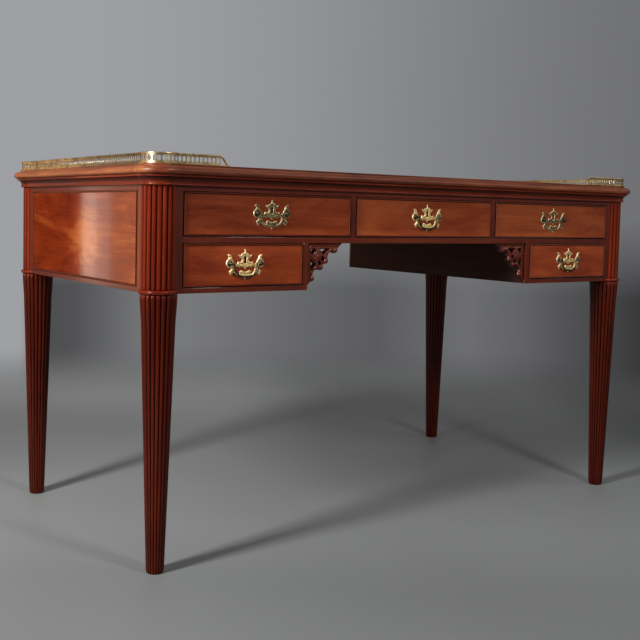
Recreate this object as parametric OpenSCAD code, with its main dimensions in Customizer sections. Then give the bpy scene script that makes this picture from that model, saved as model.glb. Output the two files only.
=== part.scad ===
// Writing table with two tiers of drawers, reeded legs and a pierced brass gallery.
// The drawers face -Y, the length runs along X, and the feet stand on z = 0.

/* [Overall] */
// Distance between the leg centres along the length
leg_span_x = 1276; // [1240:1:1400]
// Distance between the leg centres across the depth
leg_span_y = 636; // [600:1:720]
// Length of a leg from the floor to the underside of the frame
leg_len = 534; // [480:1:600]

/* [Frame] */
// How far the frame faces stand out from the leg centres
face_out = 27; // [25:0.5:30]
// Thickness of the rails and stiles
board_t = 22; // [18:1:26]
// How far past a leg centre the boards are let into the post
let_in = 12; // [10:1:16]
// Height of the bottom rail
low_rail_h = 10; // [8:1:16]
// Height of the lower drawer openings
low_open_h = 85; // [75:1:100]
// Height of the rail between the drawers
mid_rail_h = 12; // [10:1:18]
// Height of the upper drawer openings
up_open_h = 85; // [75:1:100]
// Height of the top rail
top_rail_h = 29.5; // [24:0.5:36]
// Width of the front stile that shows beside a corner post
front_stile = 0.5; // [0.5:0.5:10]
// Width of the end stile that shows beside a corner post
end_stile = 4.5; // [1:0.5:14]
// Width of the kneehole
kneehole_w = 634; // [560:1:680]
// Thickness of the pedestal boards beside the kneehole
pedestal_t = 12; // [10:1:16]
// Thickness of the partitions between the upper drawers
partition_t = 13; // [10:1:18]
// Length of a tenon
tenon_l = 8; // [6:1:10]
// Thickness of a tenon
tenon_t = 8; // [6:1:10]

/* [Legs] */
// Number of reeds round a leg
reed_count = 20; // [16:2:24]
// Depth of the quirk between two reeds
reed_depth = 2.2; // [1:0.1:3]
// Radius of the reeded corner post
post_r = 34.5; // [33:0.5:36]
// Radius of a leg under its collar
leg_top_r = 35.5; // [34:0.5:37]
// Radius of a leg where the long taper starts
leg_neck_r = 32.5; // [30:0.5:34]
// Radius of a leg just above the floor
leg_foot_r = 17.5; // [15:0.5:22]
// Radius of the collar
collar_r = 39; // [38:0.5:42]
// Height of the collar
collar_h = 8.5; // [7:0.5:12]
// How far the collar drops below the frame
collar_drop = 1.5; // [1:0.5:3]

/* [Top] */
// Thickness of the moulded top
top_t = 19.5; // [18:0.5:26]
// How far the top stands out from the leg centres
top_out = 50; // [49:0.5:54]
// How much further the round corners stand out
corner_out = 6; // [4:0.5:8]
// Width of the wooden border round the writing surface
border_w = 95; // [90:1:120]
// Width of the rounding on top of the moulded edge
thumb_run = 17; // [12:1:18]
// Height at which that rounding starts
thumb_foot = 7; // [6:0.5:9]
// Thickness of the writing leather
leather_t = 2; // [1:0.5:3]
// Height of the cornice moulding
cornice_h = 20; // [18:0.5:24]
// How far the cornice stands out at its fillet
cornice_out = 43; // [42:0.5:46]
// How far the cornice stands out at its foot
cornice_foot = 33.5; // [32:0.5:36]

/* [Gallery] */
// Height of the brass gallery
gallery_h = 20.5; // [16:0.5:26]
// How far the gallery stands out from the leg centres
gallery_out = 31; // [29:0.5:32]
// Length of the front returns from the leg centres
return_len = 120; // [80:1:160]
// Length of the ramp at the end of a front return
ramp_l = 15; // [10:1:20]
// Distance between two pales
pale_pitch = 9; // [7:0.5:14]
// Width of a pale
pale_w = 3; // [2:0.5:4]
// Thickness of a pale
pale_t = 1.6; // [1:0.2:2.4]
// Thickness of the gallery's foot plate
foot_plate_t = 2; // [1.5:0.5:3]
// Width of the gallery's foot plate
foot_plate_w = 6; // [5:0.5:8]
// Height of the cap rail
cap_h = 4; // [3:0.5:5]
// Width of the cap rail
cap_w = 5; // [4:0.5:6]

/* [Panels] */
// Width of the bead round a drawer front or a panel
bead_w = 4; // [3:0.5:6]
// Depth of the rebate that holds a bead
bead_in = 6; // [4:0.5:8]
// How far a bead stands proud
bead_out = 1.6; // [1:0.2:3]
// Thickness of a veneered panel
panel_t = 14; // [12:1:16]
// Length of the tongue round a panel
tongue_l = 4; // [3:0.5:5]
// Thickness of the tongue round a panel
tongue_t = 5; // [4:0.5:6]

/* [Drawers] */
// Length of a drawer from front to back
drawer_len = 600; // [450:1:620]
// Gap round a drawer
drawer_gap = 1; // [0.6:0.1:1.5]
// Running clearance under a drawer
run_gap = 0.3; // [0.2:0.05:0.4]
// Thickness of a drawer front
front_t = 20; // [18:1:24]
// Thickness of a drawer side
side_t = 9; // [8:0.5:12]
// Thickness of a drawer bottom
bottom_t = 5; // [4:0.5:7]
// Height of a drawer bottom above the runner
bottom_up = 8; // [7.5:0.5:12]
// Depth of the joint between a side and the front
dovetail_l = 10; // [8:0.5:12]
// Depth of the grooves for the bottom
groove_d = 4; // [3:0.5:5]
// Height of the drawer stops
stop_h = 6; // [4:0.5:7]

/* [Handles] */
// Distance between the two posts of a handle
post_gap = 70; // [60:1:80]
// Height of the posts above the middle of the front
post_up = 3; // [0:0.5:8]
// Thickness of the brass plate
plate_t = 1.5; // [1:0.1:2]
// Radius of the ball on a post
ball_r = 5; // [4.5:0.1:5.5]
// Radius of the rod of a swinging handle
rod_r = 1.8; // [1.5:0.1:2]
// Clearance round a pivot pin
pivot_gap = 0.3; // [0.2:0.05:0.4]
// Drop of the swinging handle below its pivots
bail_drop = 25; // [22:0.5:28]
// Radius of the shank that goes through the front
shank_r = 2.5; // [2:0.1:3]
// Radius of the nut on a shank
nut_r = 6; // [5:0.5:7]
// Thickness of the nut
nut_t = 4; // [3:0.5:5]
// Radius of the keyhole
keyhole_r = 3; // [2:0.1:3.5]
// Height of the keyhole above the posts
keyhole_up = 11; // [9:0.5:12]
// Thickness of a lock
lock_t = 9; // [7:0.5:10]
// Height of a lock
lock_h = 36; // [30:1:40]

/* [Kneehole brackets] */
// Length of each arm of a bracket
bracket_l = 91; // [80:1:100]
// Thickness of a bracket
bracket_t = 14; // [10:1:16]
// Width of the plain arm
bracket_arm = 10; // [8:0.5:12]

/* [Hidden] */
half_x = leg_span_x / 2;
half_y = leg_span_y / 2;
face_x = half_x + face_out;
face_y = half_y + face_out;
in_x = face_x - board_t;
in_y = face_y - board_t;
z_low = leg_len + low_rail_h;
z_mid = z_low + low_open_h;
z_up = z_mid + mid_rail_h;
z_rail = z_up + up_open_h;
z_top = z_rail + top_rail_h;
top_h = z_top + top_t;
open_x = half_x - post_r - front_stile;
end_y = half_y - post_r - end_stile;
ped_x = kneehole_w / 2;
ped_o = ped_x + pedestal_t;
bay_w = (2 * open_x - 2 * partition_t) / 3;
leather_x = half_x + top_out - border_w;
leather_y = half_y + top_out - border_w;
board_end_x = half_x - let_in;
board_end_y = half_y - let_in;
post_clear = 0.3;
notch = collar_r + 1;
tongue_in = bead_in + 1;
part_gap = 0.1;
pivot_out = plate_t + part_gap + ball_r;
lock_w = post_gap - 2 * shank_r - 3;
lock_drop = 4;
back_in = 6;
back_drop = 12;
reed_sides = 4;
screw_r = 2.5;
screw_head_r = 4.5;
screw_in = 10;
screw_back = 90;
screw_sink = 4;
kicker_w = 20;
screw_edge = 12;
$fn = 48;

// Each drawer is [left, right, bottom, top] of its opening in the front
upper_left = [-open_x, -open_x + bay_w, z_up, z_rail];
upper_middle = [-bay_w / 2, bay_w / 2, z_up, z_rail];
upper_right = [open_x - bay_w, open_x, z_up, z_rail];
lower_left = [-open_x, -ped_o, z_low, z_mid];
lower_right = [ped_o, open_x, z_low, z_mid];
ALL_OPENINGS = [upper_left, upper_middle, upper_right, lower_left, lower_right];

// A box given by its lowest and highest corners
module span(a, b) { translate(a) cube([b[0] - a[0], b[1] - a[1], b[2] - a[2]]); }

// Copies to both ends or to both long sides of the table
module both_x() { children(); mirror([1, 0, 0]) children(); }
module both_y() { children(); mirror([0, 1, 0]) children(); }

// Radius of a reeded round at one of the points of its outline
function reed_at(r, k) = r - reed_depth * pow(abs(sin(180 * k / reed_sides)) - 1, 2);
function reed_ring(r, z) = [for (k = [0 : reed_count * reed_sides - 1])
  let (a = 360 * k / (reed_count * reed_sides))
  [reed_at(r, k) * cos(a), reed_at(r, k) * sin(a), z]];

// Solid through a stack of rings that all have the same number of points
module skin(rings) {
  n = len(rings[0]);
  m = len(rings);
  pts = [for (r = rings) each r];
  sides = [for (i = [0 : m - 2], j = [0 : n - 1]) let (k = (j + 1) % n)
    each [[i * n + j, (i + 1) * n + j, (i + 1) * n + k], [i * n + j, (i + 1) * n + k, i * n + k]]];
  ends = [[for (j = [0 : n - 1]) j], [for (j = [n - 1 : -1 : 0]) (m - 1) * n + j]];
  polyhedron(pts, concat(sides, ends));
}

// Plan of the room that the frame boards take out of a corner post
module board_room() {
  translate([-face_x, -board_end_y]) square([board_t, half_y]);
  translate([-board_end_x, -face_y]) square([half_x, board_t]);
}

// One leg with its collar and its corner post, turned from one piece
module leg() {
  collar_z = leg_len - collar_drop;
  color("saddlebrown") {
    translate([-half_x, -half_y, 0]) skin([
      reed_ring(leg_foot_r - 2.5, 0), reed_ring(leg_foot_r - 0.5, 2), reed_ring(leg_foot_r, 6),
      reed_ring(leg_neck_r, leg_len - 54), reed_ring(leg_top_r - 1, leg_len - 20),
      reed_ring(leg_top_r, leg_len - 8), reed_ring(leg_top_r - 1.5, collar_z + collar_drop / 2)]);
    difference() {
      translate([-half_x, -half_y, collar_z]) rotate_extrude() polygon([
        [0, 0], [collar_r - 2.5, 0], [collar_r - 0.7, 1.5], [collar_r, collar_h / 2],
        [collar_r - 0.7, collar_h - 1.5], [collar_r - 2.5, collar_h], [0, collar_h]]);
      translate([0, 0, leg_len]) linear_extrude(collar_h) board_room();
    }
    translate([0, 0, leg_len]) linear_extrude(z_top - leg_len) difference() {
      translate([-half_x, -half_y]) polygon([for (p = reed_ring(post_r, 0)) [p[0], p[1]]]);
      board_room();
    }
  }
}

// Plan outline of the top and its mouldings, with round corners over the legs
module plan(out) {
  square([2 * (half_x + out), 2 * half_y], center = true);
  square([2 * half_x, 2 * (half_y + out)], center = true);
  for (x = [-half_x, half_x], y = [-half_y, half_y]) translate([x, y]) circle(out + corner_out);
}

// A moulding that follows the plan outline; the section is [out, up] points
module moulding(section) {
  shifted = [for (p = section) [p[0] + corner_out, p[1]]];
  for (s = [0, 180]) rotate(s) {
    translate([0, half_y, 0]) rotate([90, 0, 90])
      linear_extrude(2 * half_x, center = true) polygon(section);
    translate([half_x, 0, 0]) rotate([90, 0, 0])
      linear_extrude(2 * half_y, center = true) polygon(section);
  }
  for (x = [-half_x, half_x], y = [-half_y, half_y])
    translate([x, y, 0]) rotate_extrude() polygon(concat([[0, shifted[0][1]]],
      [for (p = shifted) if (p[0] > 0) p], [[0, shifted[len(shifted) - 1][1]]]));
}

// Section of the thumb moulding round the edge of the top
thumb_section = concat([[top_out - border_w, 0], [top_out - 2, 0], [top_out - 0.6, 2], [top_out, 4.5],
  [top_out, thumb_foot]],
  [for (a = [15 : 15 : 90]) [top_out - thumb_run * (1 - cos(a)),
    thumb_foot + (top_t - thumb_foot) * sin(a)]],
  [[top_out - border_w, top_t]]);

module top_edge() {
  color("sienna") difference() {
    translate([0, 0, z_top]) moulding(thumb_section);
    span([-leather_x, -leather_y, z_top - 1], [leather_x, leather_y, top_h + 1]);
    board_tongue();
  }
}

// Tongue of the top board in the groove of the moulded edge
module board_tongue() {
  span([-leather_x - tenon_l, -leather_y - tenon_l, z_top + 6],
    [leather_x + tenon_l, leather_y + tenon_l, z_top + 12]);
}

module top_board() {
  color("peru") difference() {
    union() {
      span([-leather_x, -leather_y, z_top], [leather_x, leather_y, top_h - leather_t]);
      board_tongue();
    }
    top_screws_at() cylinder(h = screw_in, r = screw_r);
  }
}

module writing_leather() {
  color("darkgreen") span([-leather_x, -leather_y, top_h - leather_t], [leather_x, leather_y, top_h]);
}

// Cavetto and fillet under the top, carried round the corner posts
cornice_section = concat([[0, 0], [cornice_foot, 0], [cornice_foot, 3]],
  [for (a = [0 : 18 : 90]) [cornice_out - (cornice_out - cornice_foot - 0.8) * cos(a),
    3 + (cornice_h - 10) * sin(a)]],
  [[cornice_out, cornice_h], [0, cornice_h]]);

module cornice() {
  color("saddlebrown") difference() {
    translate([0, 0, z_top - cornice_h]) moulding(cornice_section);
    span([-face_x, -face_y, z_rail - 30], [face_x, face_y, z_top + 1]);
    for (x = [-half_x, half_x], y = [-half_y, half_y])
      translate([x, y, z_rail - 30]) cylinder(h = top_rail_h + 40, r = post_r + post_clear);
  }
}

// Plan band of the gallery, a three-quarter run that ends in short front returns
module gallery_band(w) {
  difference() {
    plan(gallery_out + w / 2);
    plan(gallery_out - w / 2);
    translate([-half_x + return_len, -half_y - 2 * gallery_out])
      square([2 * (half_x - return_len), half_y]);
  }
}

module gallery_foot() {
  color("gold") translate([0, 0, top_h]) linear_extrude(foot_plate_t) gallery_band(foot_plate_w);
}

module gallery_cap() {
  color("gold") {
    translate([0, 0, top_h + gallery_h - cap_h]) linear_extrude(cap_h) gallery_band(cap_w);
    both_x() translate([-half_x + return_len, -half_y - gallery_out + cap_w / 2, top_h])
      rotate([90, 0, 0]) linear_extrude(cap_w) polygon([[0, 0], [ramp_l, 0], [ramp_l, cap_h],
        [ramp_l * 0.6, gallery_h * 0.4], [ramp_l * 0.25, gallery_h], [-cap_h, gallery_h],
        [-cap_h, gallery_h - cap_h], [0, gallery_h - cap_h]]);
  }
}

// One pale, standing on the foot plate and carrying the cap rail
module pale() {
  translate([-pale_w / 2, -pale_t / 2, top_h + foot_plate_t])
    cube([pale_w, pale_t, gallery_h - foot_plate_t - cap_h]);
}

module gallery_pales() {
  corner_a = acos(gallery_out / (gallery_out + corner_out));
  run_x = half_x - (gallery_out + corner_out) * sin(corner_a);
  run_y = half_y - (gallery_out + corner_out) * sin(corner_a);
  nx = floor(2 * run_x / pale_pitch / 2);
  ny = floor(2 * run_y / pale_pitch / 2);
  nr = floor((return_len - (half_x - run_x)) / pale_pitch);
  arc = 90 + 2 * corner_a;
  na = floor(arc * PI / 180 * (gallery_out + corner_out) / pale_pitch);
  color("gold") {
    for (i = [-nx : nx]) translate([i * pale_pitch, half_y + gallery_out, 0]) pale();
    for (s = [-1, 1], i = [-ny : ny])
      translate([s * (half_x + gallery_out), i * pale_pitch, 0]) rotate(90) pale();
    for (s = [-1, 1], i = [0 : nr - 1])
      translate([s * (run_x - (i + 0.5) * pale_pitch), -half_y - gallery_out, 0]) pale();
    both_x() both_y() translate([half_x, half_y, 0]) for (i = [0 : na])
      rotate(arc * (i + 0.5) / (na + 1) - corner_a) translate([gallery_out + corner_out, 0, 0])
        rotate(90) pale();
  }
}

// Tongue of a panel that fills an opening given by its corners in its own plane
module panel_tongue(x0, x1, z0, z1) {
  span([x0 - tongue_l, tongue_in, z0 - tongue_l],
    [x1 + tongue_l, tongue_in + tongue_t, z1 + tongue_l]);
}

// Panel with a rebate for its bead; its face lies on y = 0 and its back towards +Y
module panel(x0, x1, z0, z1) {
  difference() {
    span([x0, 0, z0], [x1, panel_t, z1]);
    bead_rebate(x0, x1, z0, z1);
  }
  panel_tongue(x0, x1, z0, z1);
}

// The ring that a bead fills round a front or a panel
module bead_rebate(x0, x1, z0, z1) {
  difference() {
    span([x0 - 1, -1, z0 - 1], [x1 + 1, bead_in, z1 + 1]);
    span([x0 + bead_w, -2, z0 + bead_w], [x1 - bead_w, bead_in + 1, z1 - bead_w]);
  }
}

module bead(x0, x1, z0, z1) {
  difference() {
    union() {
      span([x0, 0, z0], [x1, bead_in, z1]);
      span([x0 + 0.6, -bead_out, z0 + 0.6], [x1 - 0.6, 0, z1 - 0.6]);
    }
    span([x0 + bead_w, -5, z0 + bead_w], [x1 - bead_w, bead_in + 1, z1 - bead_w]);
    span([x0 + bead_w - 0.6, -5, z0 + bead_w - 0.6], [x1 - bead_w + 0.6, 0, z1 - bead_w + 0.6]);
  }
}

// Tenon of a rail end, with its length towards +X, centred on the board's thickness
module tenon(z0, z1) {
  rise = min(2, (z1 - z0) / 5);
  span([0, (board_t - tenon_t) / 2, z0 + rise], [tenon_l, (board_t + tenon_t) / 2, z1 - rise]);
}

module rail(x0, x1, z0, z1) {
  span([x0, 0, z0], [x1, board_t, z1]);
  translate([x1, 0, 0]) tenon(z0, z1);
  translate([x0, 0, 0]) mirror([1, 0, 0]) tenon(z0, z1);
}

// Puts a piece drawn behind y = 0 on the front, the back or an end of the frame
module on_front() { translate([0, -face_y, 0]) children(); }
module on_back() { rotate(180) translate([0, -face_y, 0]) children(); }
module on_left() { rotate(-90) translate([0, -face_x, 0]) children(); }
module on_right() { rotate(90) translate([0, -face_x, 0]) children(); }

// Rails and stiles of one end, with grooves for the panel
module end_frame() {
  color("sienna") difference() {
    union() {
      rail(-end_y, end_y, leg_len, z_low);
      rail(-end_y, end_y, z_rail, z_top);
      both_x() difference() {
        span([end_y, 0, leg_len], [board_end_y, board_t, z_top]);
        translate([end_y, 0, 0]) tenon(leg_len, z_low);
        translate([end_y, 0, 0]) tenon(z_rail, z_top);
      }
    }
    panel_tongue(-end_y, end_y, z_low, z_rail);
  }
}

module end_panels() {
  color("chocolate") {
    on_left() panel(-end_y, end_y, z_low, z_rail);
    on_right() panel(-end_y, end_y, z_low, z_rail);
  }
}

module end_beads() {
  color("saddlebrown") {
    on_left() bead(-end_y, end_y, z_low, z_rail);
    on_right() bead(-end_y, end_y, z_low, z_rail);
  }
}

// Rails and stiles of a long side; the partitions and pedestal boards cross it
module long_frame() {
  rail(-open_x, open_x, z_rail, z_top);
  rail(-open_x, open_x, z_mid, z_up);
  both_x() {
    rail(ped_o, open_x, leg_len, z_low);
    difference() {
      span([open_x, 0, leg_len], [board_end_x, board_t, z_top]);
      translate([open_x, 0, 0]) {
        tenon(leg_len, z_low);
        tenon(z_mid, z_up);
        tenon(z_rail, z_top);
      }
    }
  }
}

module front_frame() { color("sienna") on_front() long_frame(); }

module back_frame() {
  color("sienna") on_back() difference() {
    long_frame();
    for (o = ALL_OPENINGS) panel_tongue(o[0], o[1], o[2], o[3]);
  }
}

module back_panels() {
  color("chocolate") on_back() for (o = ALL_OPENINGS) panel(o[0], o[1], o[2], o[3]);
}

module back_beads() {
  color("saddlebrown") on_back() for (o = ALL_OPENINGS) bead(o[0], o[1], o[2], o[3]);
}

// Full-depth partitions between the upper drawers
module partitions() {
  color("peru") both_x() difference() {
    union() {
      span([bay_w / 2, -face_y, z_up], [bay_w / 2 + partition_t, face_y, z_rail]);
      span([bay_w / 2, -in_y, z_up], [bay_w / 2 + partition_t, in_y, z_top]);
    }
    on_back() for (o = ALL_OPENINGS) panel_tongue(o[0], o[1], o[2], o[3]);
  }
}

// Boards beside the kneehole, which close the inner sides of the pedestals
module pedestal_boards() {
  color("saddlebrown") both_x() difference() {
    span([ped_x, -face_y, leg_len], [ped_o, face_y, z_mid]);
    both_y() translate([ped_o, -face_y, 0]) mirror([1, 0, 0]) tenon(leg_len, z_low);
    on_back() for (o = ALL_OPENINGS) panel_tongue(o[0], o[1], o[2], o[3]);
  }
}

// Square notches in the flat boards round the inner parts of the posts
module post_notches(z0, z1) {
  for (x = [-half_x, half_x], y = [-half_y, half_y])
    span([x - notch, y - notch, z0], [x + notch, y + notch, z1]);
}

module dust_board() {
  color("burlywood") difference() {
    span([-in_x, -in_y, z_mid], [in_x, in_y, z_up]);
    post_notches(z_mid - 1, z_up + 1);
  }
}

module pedestal_floors() {
  color("burlywood") both_x() difference() {
    span([ped_o, -in_y, leg_len], [in_x, in_y, z_low]);
    post_notches(leg_len - 1, z_low + 1);
  }
}

// Strips that guide the drawers, strips above them that stop them tipping, and their stops
module drawer_guides() {
  guide_h = 12;
  stop_w = 30;
  stop_d = 12;
  outer_x = leather_x - 2 * screw_edge;
  color("burlywood") {
    both_x() for (z = [z_low, z_up])
      span([open_x, -half_y + notch, z], [in_x, half_y - notch, z + guide_h]);
    difference() {
      both_x() {
        for (x = [bay_w / 2 + partition_t, bay_w / 2 - kicker_w])
          span([x, -in_y, z_rail], [x + kicker_w, in_y, z_top]);
        span([outer_x, -half_y + notch, z_rail], [open_x, half_y - notch, z_top]);
      }
      top_screws_at() {
        translate([0, 0, -top_rail_h - 1]) cylinder(h = top_rail_h + 2, r = screw_r);
        translate([0, 0, -top_rail_h - 1]) cylinder(h = screw_sink + 1, r = screw_head_r);
      }
    }
    on_front() for (o = ALL_OPENINGS, x = [o[0] + 40, o[1] - 40 - stop_w])
      span([x, front_t, o[2]], [x + stop_w, front_t + stop_d, o[2] + stop_h]);
  }
}

// Places of the screws that hold the top, on its underside
module top_screws_at() {
  for (x = [leather_x - screw_edge, bay_w / 2 + partition_t + kicker_w / 2], sx = [-1, 1],
      y = [-half_y + screw_back, half_y - screw_back])
    translate([sx * x, y, z_top]) children();
}

module top_screws() {
  color("darkgoldenrod") top_screws_at() {
    translate([0, 0, screw_sink - top_rail_h])
      cylinder(h = top_rail_h - screw_sink + screw_in, r = screw_r);
    translate([0, 0, screw_sink - 3 - top_rail_h]) cylinder(h = 3, r = screw_head_r);
  }
}

// Centres of the scrolls on half of a bracket, and the web between them, from its corner
scrolls = [[0.758, 0.16, 6.5], [0.533, 0.423, 5.5]];
web = [[0, 0], [0.72, 0.1], [0.64, 0.22], [0.58, 0.3], [0.54, 0.37], [0.5, 0.5]];

// Half of a bracket outline; the other half is its mirror image in the diagonal
module bracket_half() {
  polygon([[0, 0], [bracket_l, 0], [bracket_l - 3, bracket_arm * 0.5],
    [bracket_l - 14, bracket_arm], [bracket_arm, bracket_arm]]);
  polygon(bracket_l * web);
  for (s = scrolls) translate([s[0], s[1]] * bracket_l) circle(s[2]);
}

module bracket_outline() {
  bracket_half();
  mirror([1, -1]) bracket_half();
}

// Carved raised parts: an eye in each scroll and a leaf on the diagonal
module bracket_carving() {
  for (s = scrolls, p = [[s[0], s[1]], [s[1], s[0]]])
    translate(p * bracket_l) cylinder(h = 3, r1 = s[2] - 1.5, r2 = s[2] - 3.5);
  for (i = [0 : 2]) let (d = (0.2 + 0.1 * i) * bracket_l)
    translate([d, d]) cylinder(h = 3.5 - i * 0.6, r1 = 9 - i, r2 = 5 - i);
}

module bracket() {
  color("saddlebrown") translate([-ped_x, -face_y + 2, z_mid]) rotate([90, 0, 0]) mirror([0, 1, 0]) {
    translate([0, 0, -bracket_t]) linear_extrude(bracket_t - 2) bracket_outline();
    translate([0, 0, -2]) bracket_carving();
  }
}

// Solid of a drawer front without the holes; its face lies on the frame's face
module drawer_front(o) {
  x0 = o[0] + drawer_gap;
  x1 = o[1] - drawer_gap;
  z0 = o[2] + drawer_gap;
  z1 = o[3] - drawer_gap;
  color("chocolate") difference() {
    on_front() difference() {
      span([x0, 0, z0], [x1, front_t, z1]);
      bead_rebate(x0, x1, z0, z1);
    }
    drawer_sides(o);
    drawer_bottom_solid(o);
    handle_at(o) {
      posts_at() rotate([90, 0, 0]) translate([0, 0, -front_t - 1])
        cylinder(h = front_t + 2, r = shank_r);
      rotate([90, 0, 0]) translate([0, 0, -front_t + lock_t]) linear_extrude(front_t) keyhole();
      lock_block(1);
    }
  }
}

module drawer_bead(o) {
  color("saddlebrown") on_front()
    bead(o[0] + drawer_gap, o[1] - drawer_gap, o[2] + drawer_gap, o[3] - drawer_gap);
}

// The two sides of a drawer, without their grooves
module drawer_sides(o) {
  top_cut = 5;
  for (x = [o[0] + drawer_gap, o[1] - drawer_gap - side_t])
    span([x, -face_y + front_t - dovetail_l, o[2] + drawer_gap + bead_w + 1],
      [x + side_t, -face_y + front_t, o[3] - drawer_gap - bead_w - top_cut]);
  for (x = [o[0] + drawer_gap, o[1] - drawer_gap - side_t])
    span([x, -face_y + front_t, o[2] + run_gap], [x + side_t, -face_y + drawer_len, o[3] - top_cut]);
}

module drawer_bottom_solid(o) {
  inset = drawer_gap + side_t - groove_d;
  span([o[0] + inset, -face_y + front_t - groove_d, o[2] + bottom_up],
    [o[1] - inset, -face_y + drawer_len, o[2] + bottom_up + bottom_t]);
}

// The back of a drawer, housed in grooves of the sides and standing on the bottom
module drawer_back(o, gap, drop) {
  inset = drawer_gap + side_t - groove_d + gap;
  back_y = -face_y + drawer_len - back_in;
  span([o[0] + inset, back_y - side_t + gap, o[2] + bottom_up + bottom_t + gap],
    [o[1] - inset, back_y - gap, o[3] - drop]);
}

// Two sides and a back, as three pieces
module drawer_box(o) {
  color("burlywood") {
    difference() {
      drawer_sides(o);
      drawer_bottom_solid(o);
      drawer_back(o, 0, 0);
    }
    drawer_back(o, part_gap, back_drop);
  }
}

module drawer_bottom(o) { color("burlywood") drawer_bottom_solid(o); }

// Puts a piece drawn round the middle of a handle on the face of a drawer
module handle_at(o) {
  translate([(o[0] + o[1]) / 2, -face_y, (o[2] + o[3]) / 2 + post_up]) children();
}

module posts_at() { for (s = [-1, 1]) translate([s * post_gap / 2, 0, 0]) children(); }

module keyhole() {
  translate([0, keyhole_up]) circle(keyhole_r);
  translate([-keyhole_r * 0.65, 2]) square([keyhole_r * 1.3, keyhole_up - 2]);
}

// The block of a lock; extra lengthens it backwards where it is cut out of the front
module lock_block(extra) {
  middle = keyhole_up - lock_drop;
  span([-lock_w / 2, front_t - lock_t, middle - lock_h / 2],
    [lock_w / 2, front_t + extra, middle + lock_h / 2]);
}

// Brass lock let into the back of the front, with its bolt drawn in
module drawer_lock(o) {
  color("darkgoldenrod") handle_at(o) difference() {
    lock_block(0);
    rotate([90, 0, 0]) translate([0, 0, -front_t + 3]) linear_extrude(front_t) keyhole();
  }
}

// Right half of the pierced plate's outline and of its opening, round the handle's middle
plate_half = [[0, 26.5], [1.6, 21], [6, 20.5], [9, 18], [14, 16.5], [13, 12.5], [9.5, 11], [7, 8.5],
  [7.2, 5.5], [11, 3], [17.5, 3.5], [18.5, 0], [25, 1], [29.5, 5.5], [30.5, 11], [34, 16.5],
  [40, 17.5], [37.5, 14], [36.5, 10], [39, 7.5], [43, 3], [43.5, -2], [41, -6.3], [36.5, -8.4],
  [31, -9.5], [35.5, -13.5], [34.5, -22], [29, -21.5], [24, -16.5], [19.5, -19.5], [15, -23.5],
  [8, -25], [3, -25.5], [1.5, -27], [0, -31.5]];
pierced_half = [[0, -10.5], [7, -8], [14, -7.5], [24, -8.5], [26, -11], [22, -13.5], [16, -17.5],
  [13, -17], [11.5, -13.5], [5, -14.5], [0, -14]];

// Whole outline from its right half, widened with the distance between the posts
function mirrored(half) = let (k = post_gap / 70) concat([for (p = half) [k * p[0], p[1]]],
  [for (i = [len(half) - 2 : -1 : 1]) [-k * half[i][0], half[i][1]]]);

// One post: a ball with a socket for the pivot pin, and a shank that goes through the front
module post(side) {
  foot_t = 1.5;
  difference() {
    union() {
      rotate([90, 0, 0]) translate([0, 0, -front_t - nut_t])
        cylinder(h = front_t + nut_t + pivot_out, r = shank_r);
      rotate([90, 0, 0]) translate([0, 0, plate_t + part_gap])
        cylinder(h = foot_t, r = ball_r * 0.8);
      translate([0, -pivot_out, 0]) sphere(ball_r);
    }
    translate([-side * (ball_r + 1), -pivot_out, 0]) rotate([0, side * 90, 0])
      cylinder(h = ball_r + 3, r = rod_r + pivot_gap);
  }
}

module drawer_plate(o) {
  color("gold") handle_at(o) {
    rotate([90, 0, 0]) linear_extrude(plate_t) difference() {
      polygon(mirrored(plate_half));
      polygon(mirrored(pierced_half));
      keyhole();
      for (s = [-1, 1]) translate([s * post_gap / 2, 0]) circle(shank_r + part_gap);
    }
    for (s = [-1, 1]) translate([s * post_gap / 2, 0, 0]) {
      post(s);
      rotate([-90, 0, 0]) translate([0, 0, front_t]) difference() {
        cylinder(h = nut_t, r = nut_r);
        translate([0, 0, -1]) cylinder(h = nut_t + 2, r = shank_r + part_gap);
      }
    }
  }
}

// Route of the right half of a swinging handle below its pivot
bail_top = post_gap / 2 - ball_r - 1.5;
function bail_half() = [for (a = [0 : 9 : 90])
  [bail_top * pow(cos(a), 0.75) * (1 - 0.06 * sin(4 * a)), -bail_drop * pow(sin(a), 0.9)]];
function bail_route() = concat(bail_half(),
  [for (i = [len(bail_half()) - 2 : -1 : 0]) [-bail_half()[i][0], bail_half()[i][1]]]);

// Round section square to a route in the XZ plane at its point i
function rod_ring(p, i, r) =
  let (a = p[max(i - 1, 0)], b = p[min(i + 1, len(p) - 1)],
    t = (b - a) / norm(b - a), side = [t[1], -t[0]])
  [for (k = [0 : 7]) let (c = cos(45 * k), s = sin(45 * k))
    [p[i][0] + r * c * side[0], r * s, p[i][1] + r * c * side[1]]];

module drawer_bail(o) {
  route = bail_route();
  pin_l = ball_r + 2;
  color("gold") handle_at(o) translate([0, -pivot_out, 0]) {
    skin([for (i = [0 : len(route) - 1])
      rod_ring(route, i, rod_r + 0.5 * (1 - abs(route[i][0]) / bail_top))]);
    both_x() translate([bail_top - rod_r, 0, 0]) rotate([0, 90, 0]) cylinder(h = pin_l + rod_r, r = rod_r);
  }
}

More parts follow.
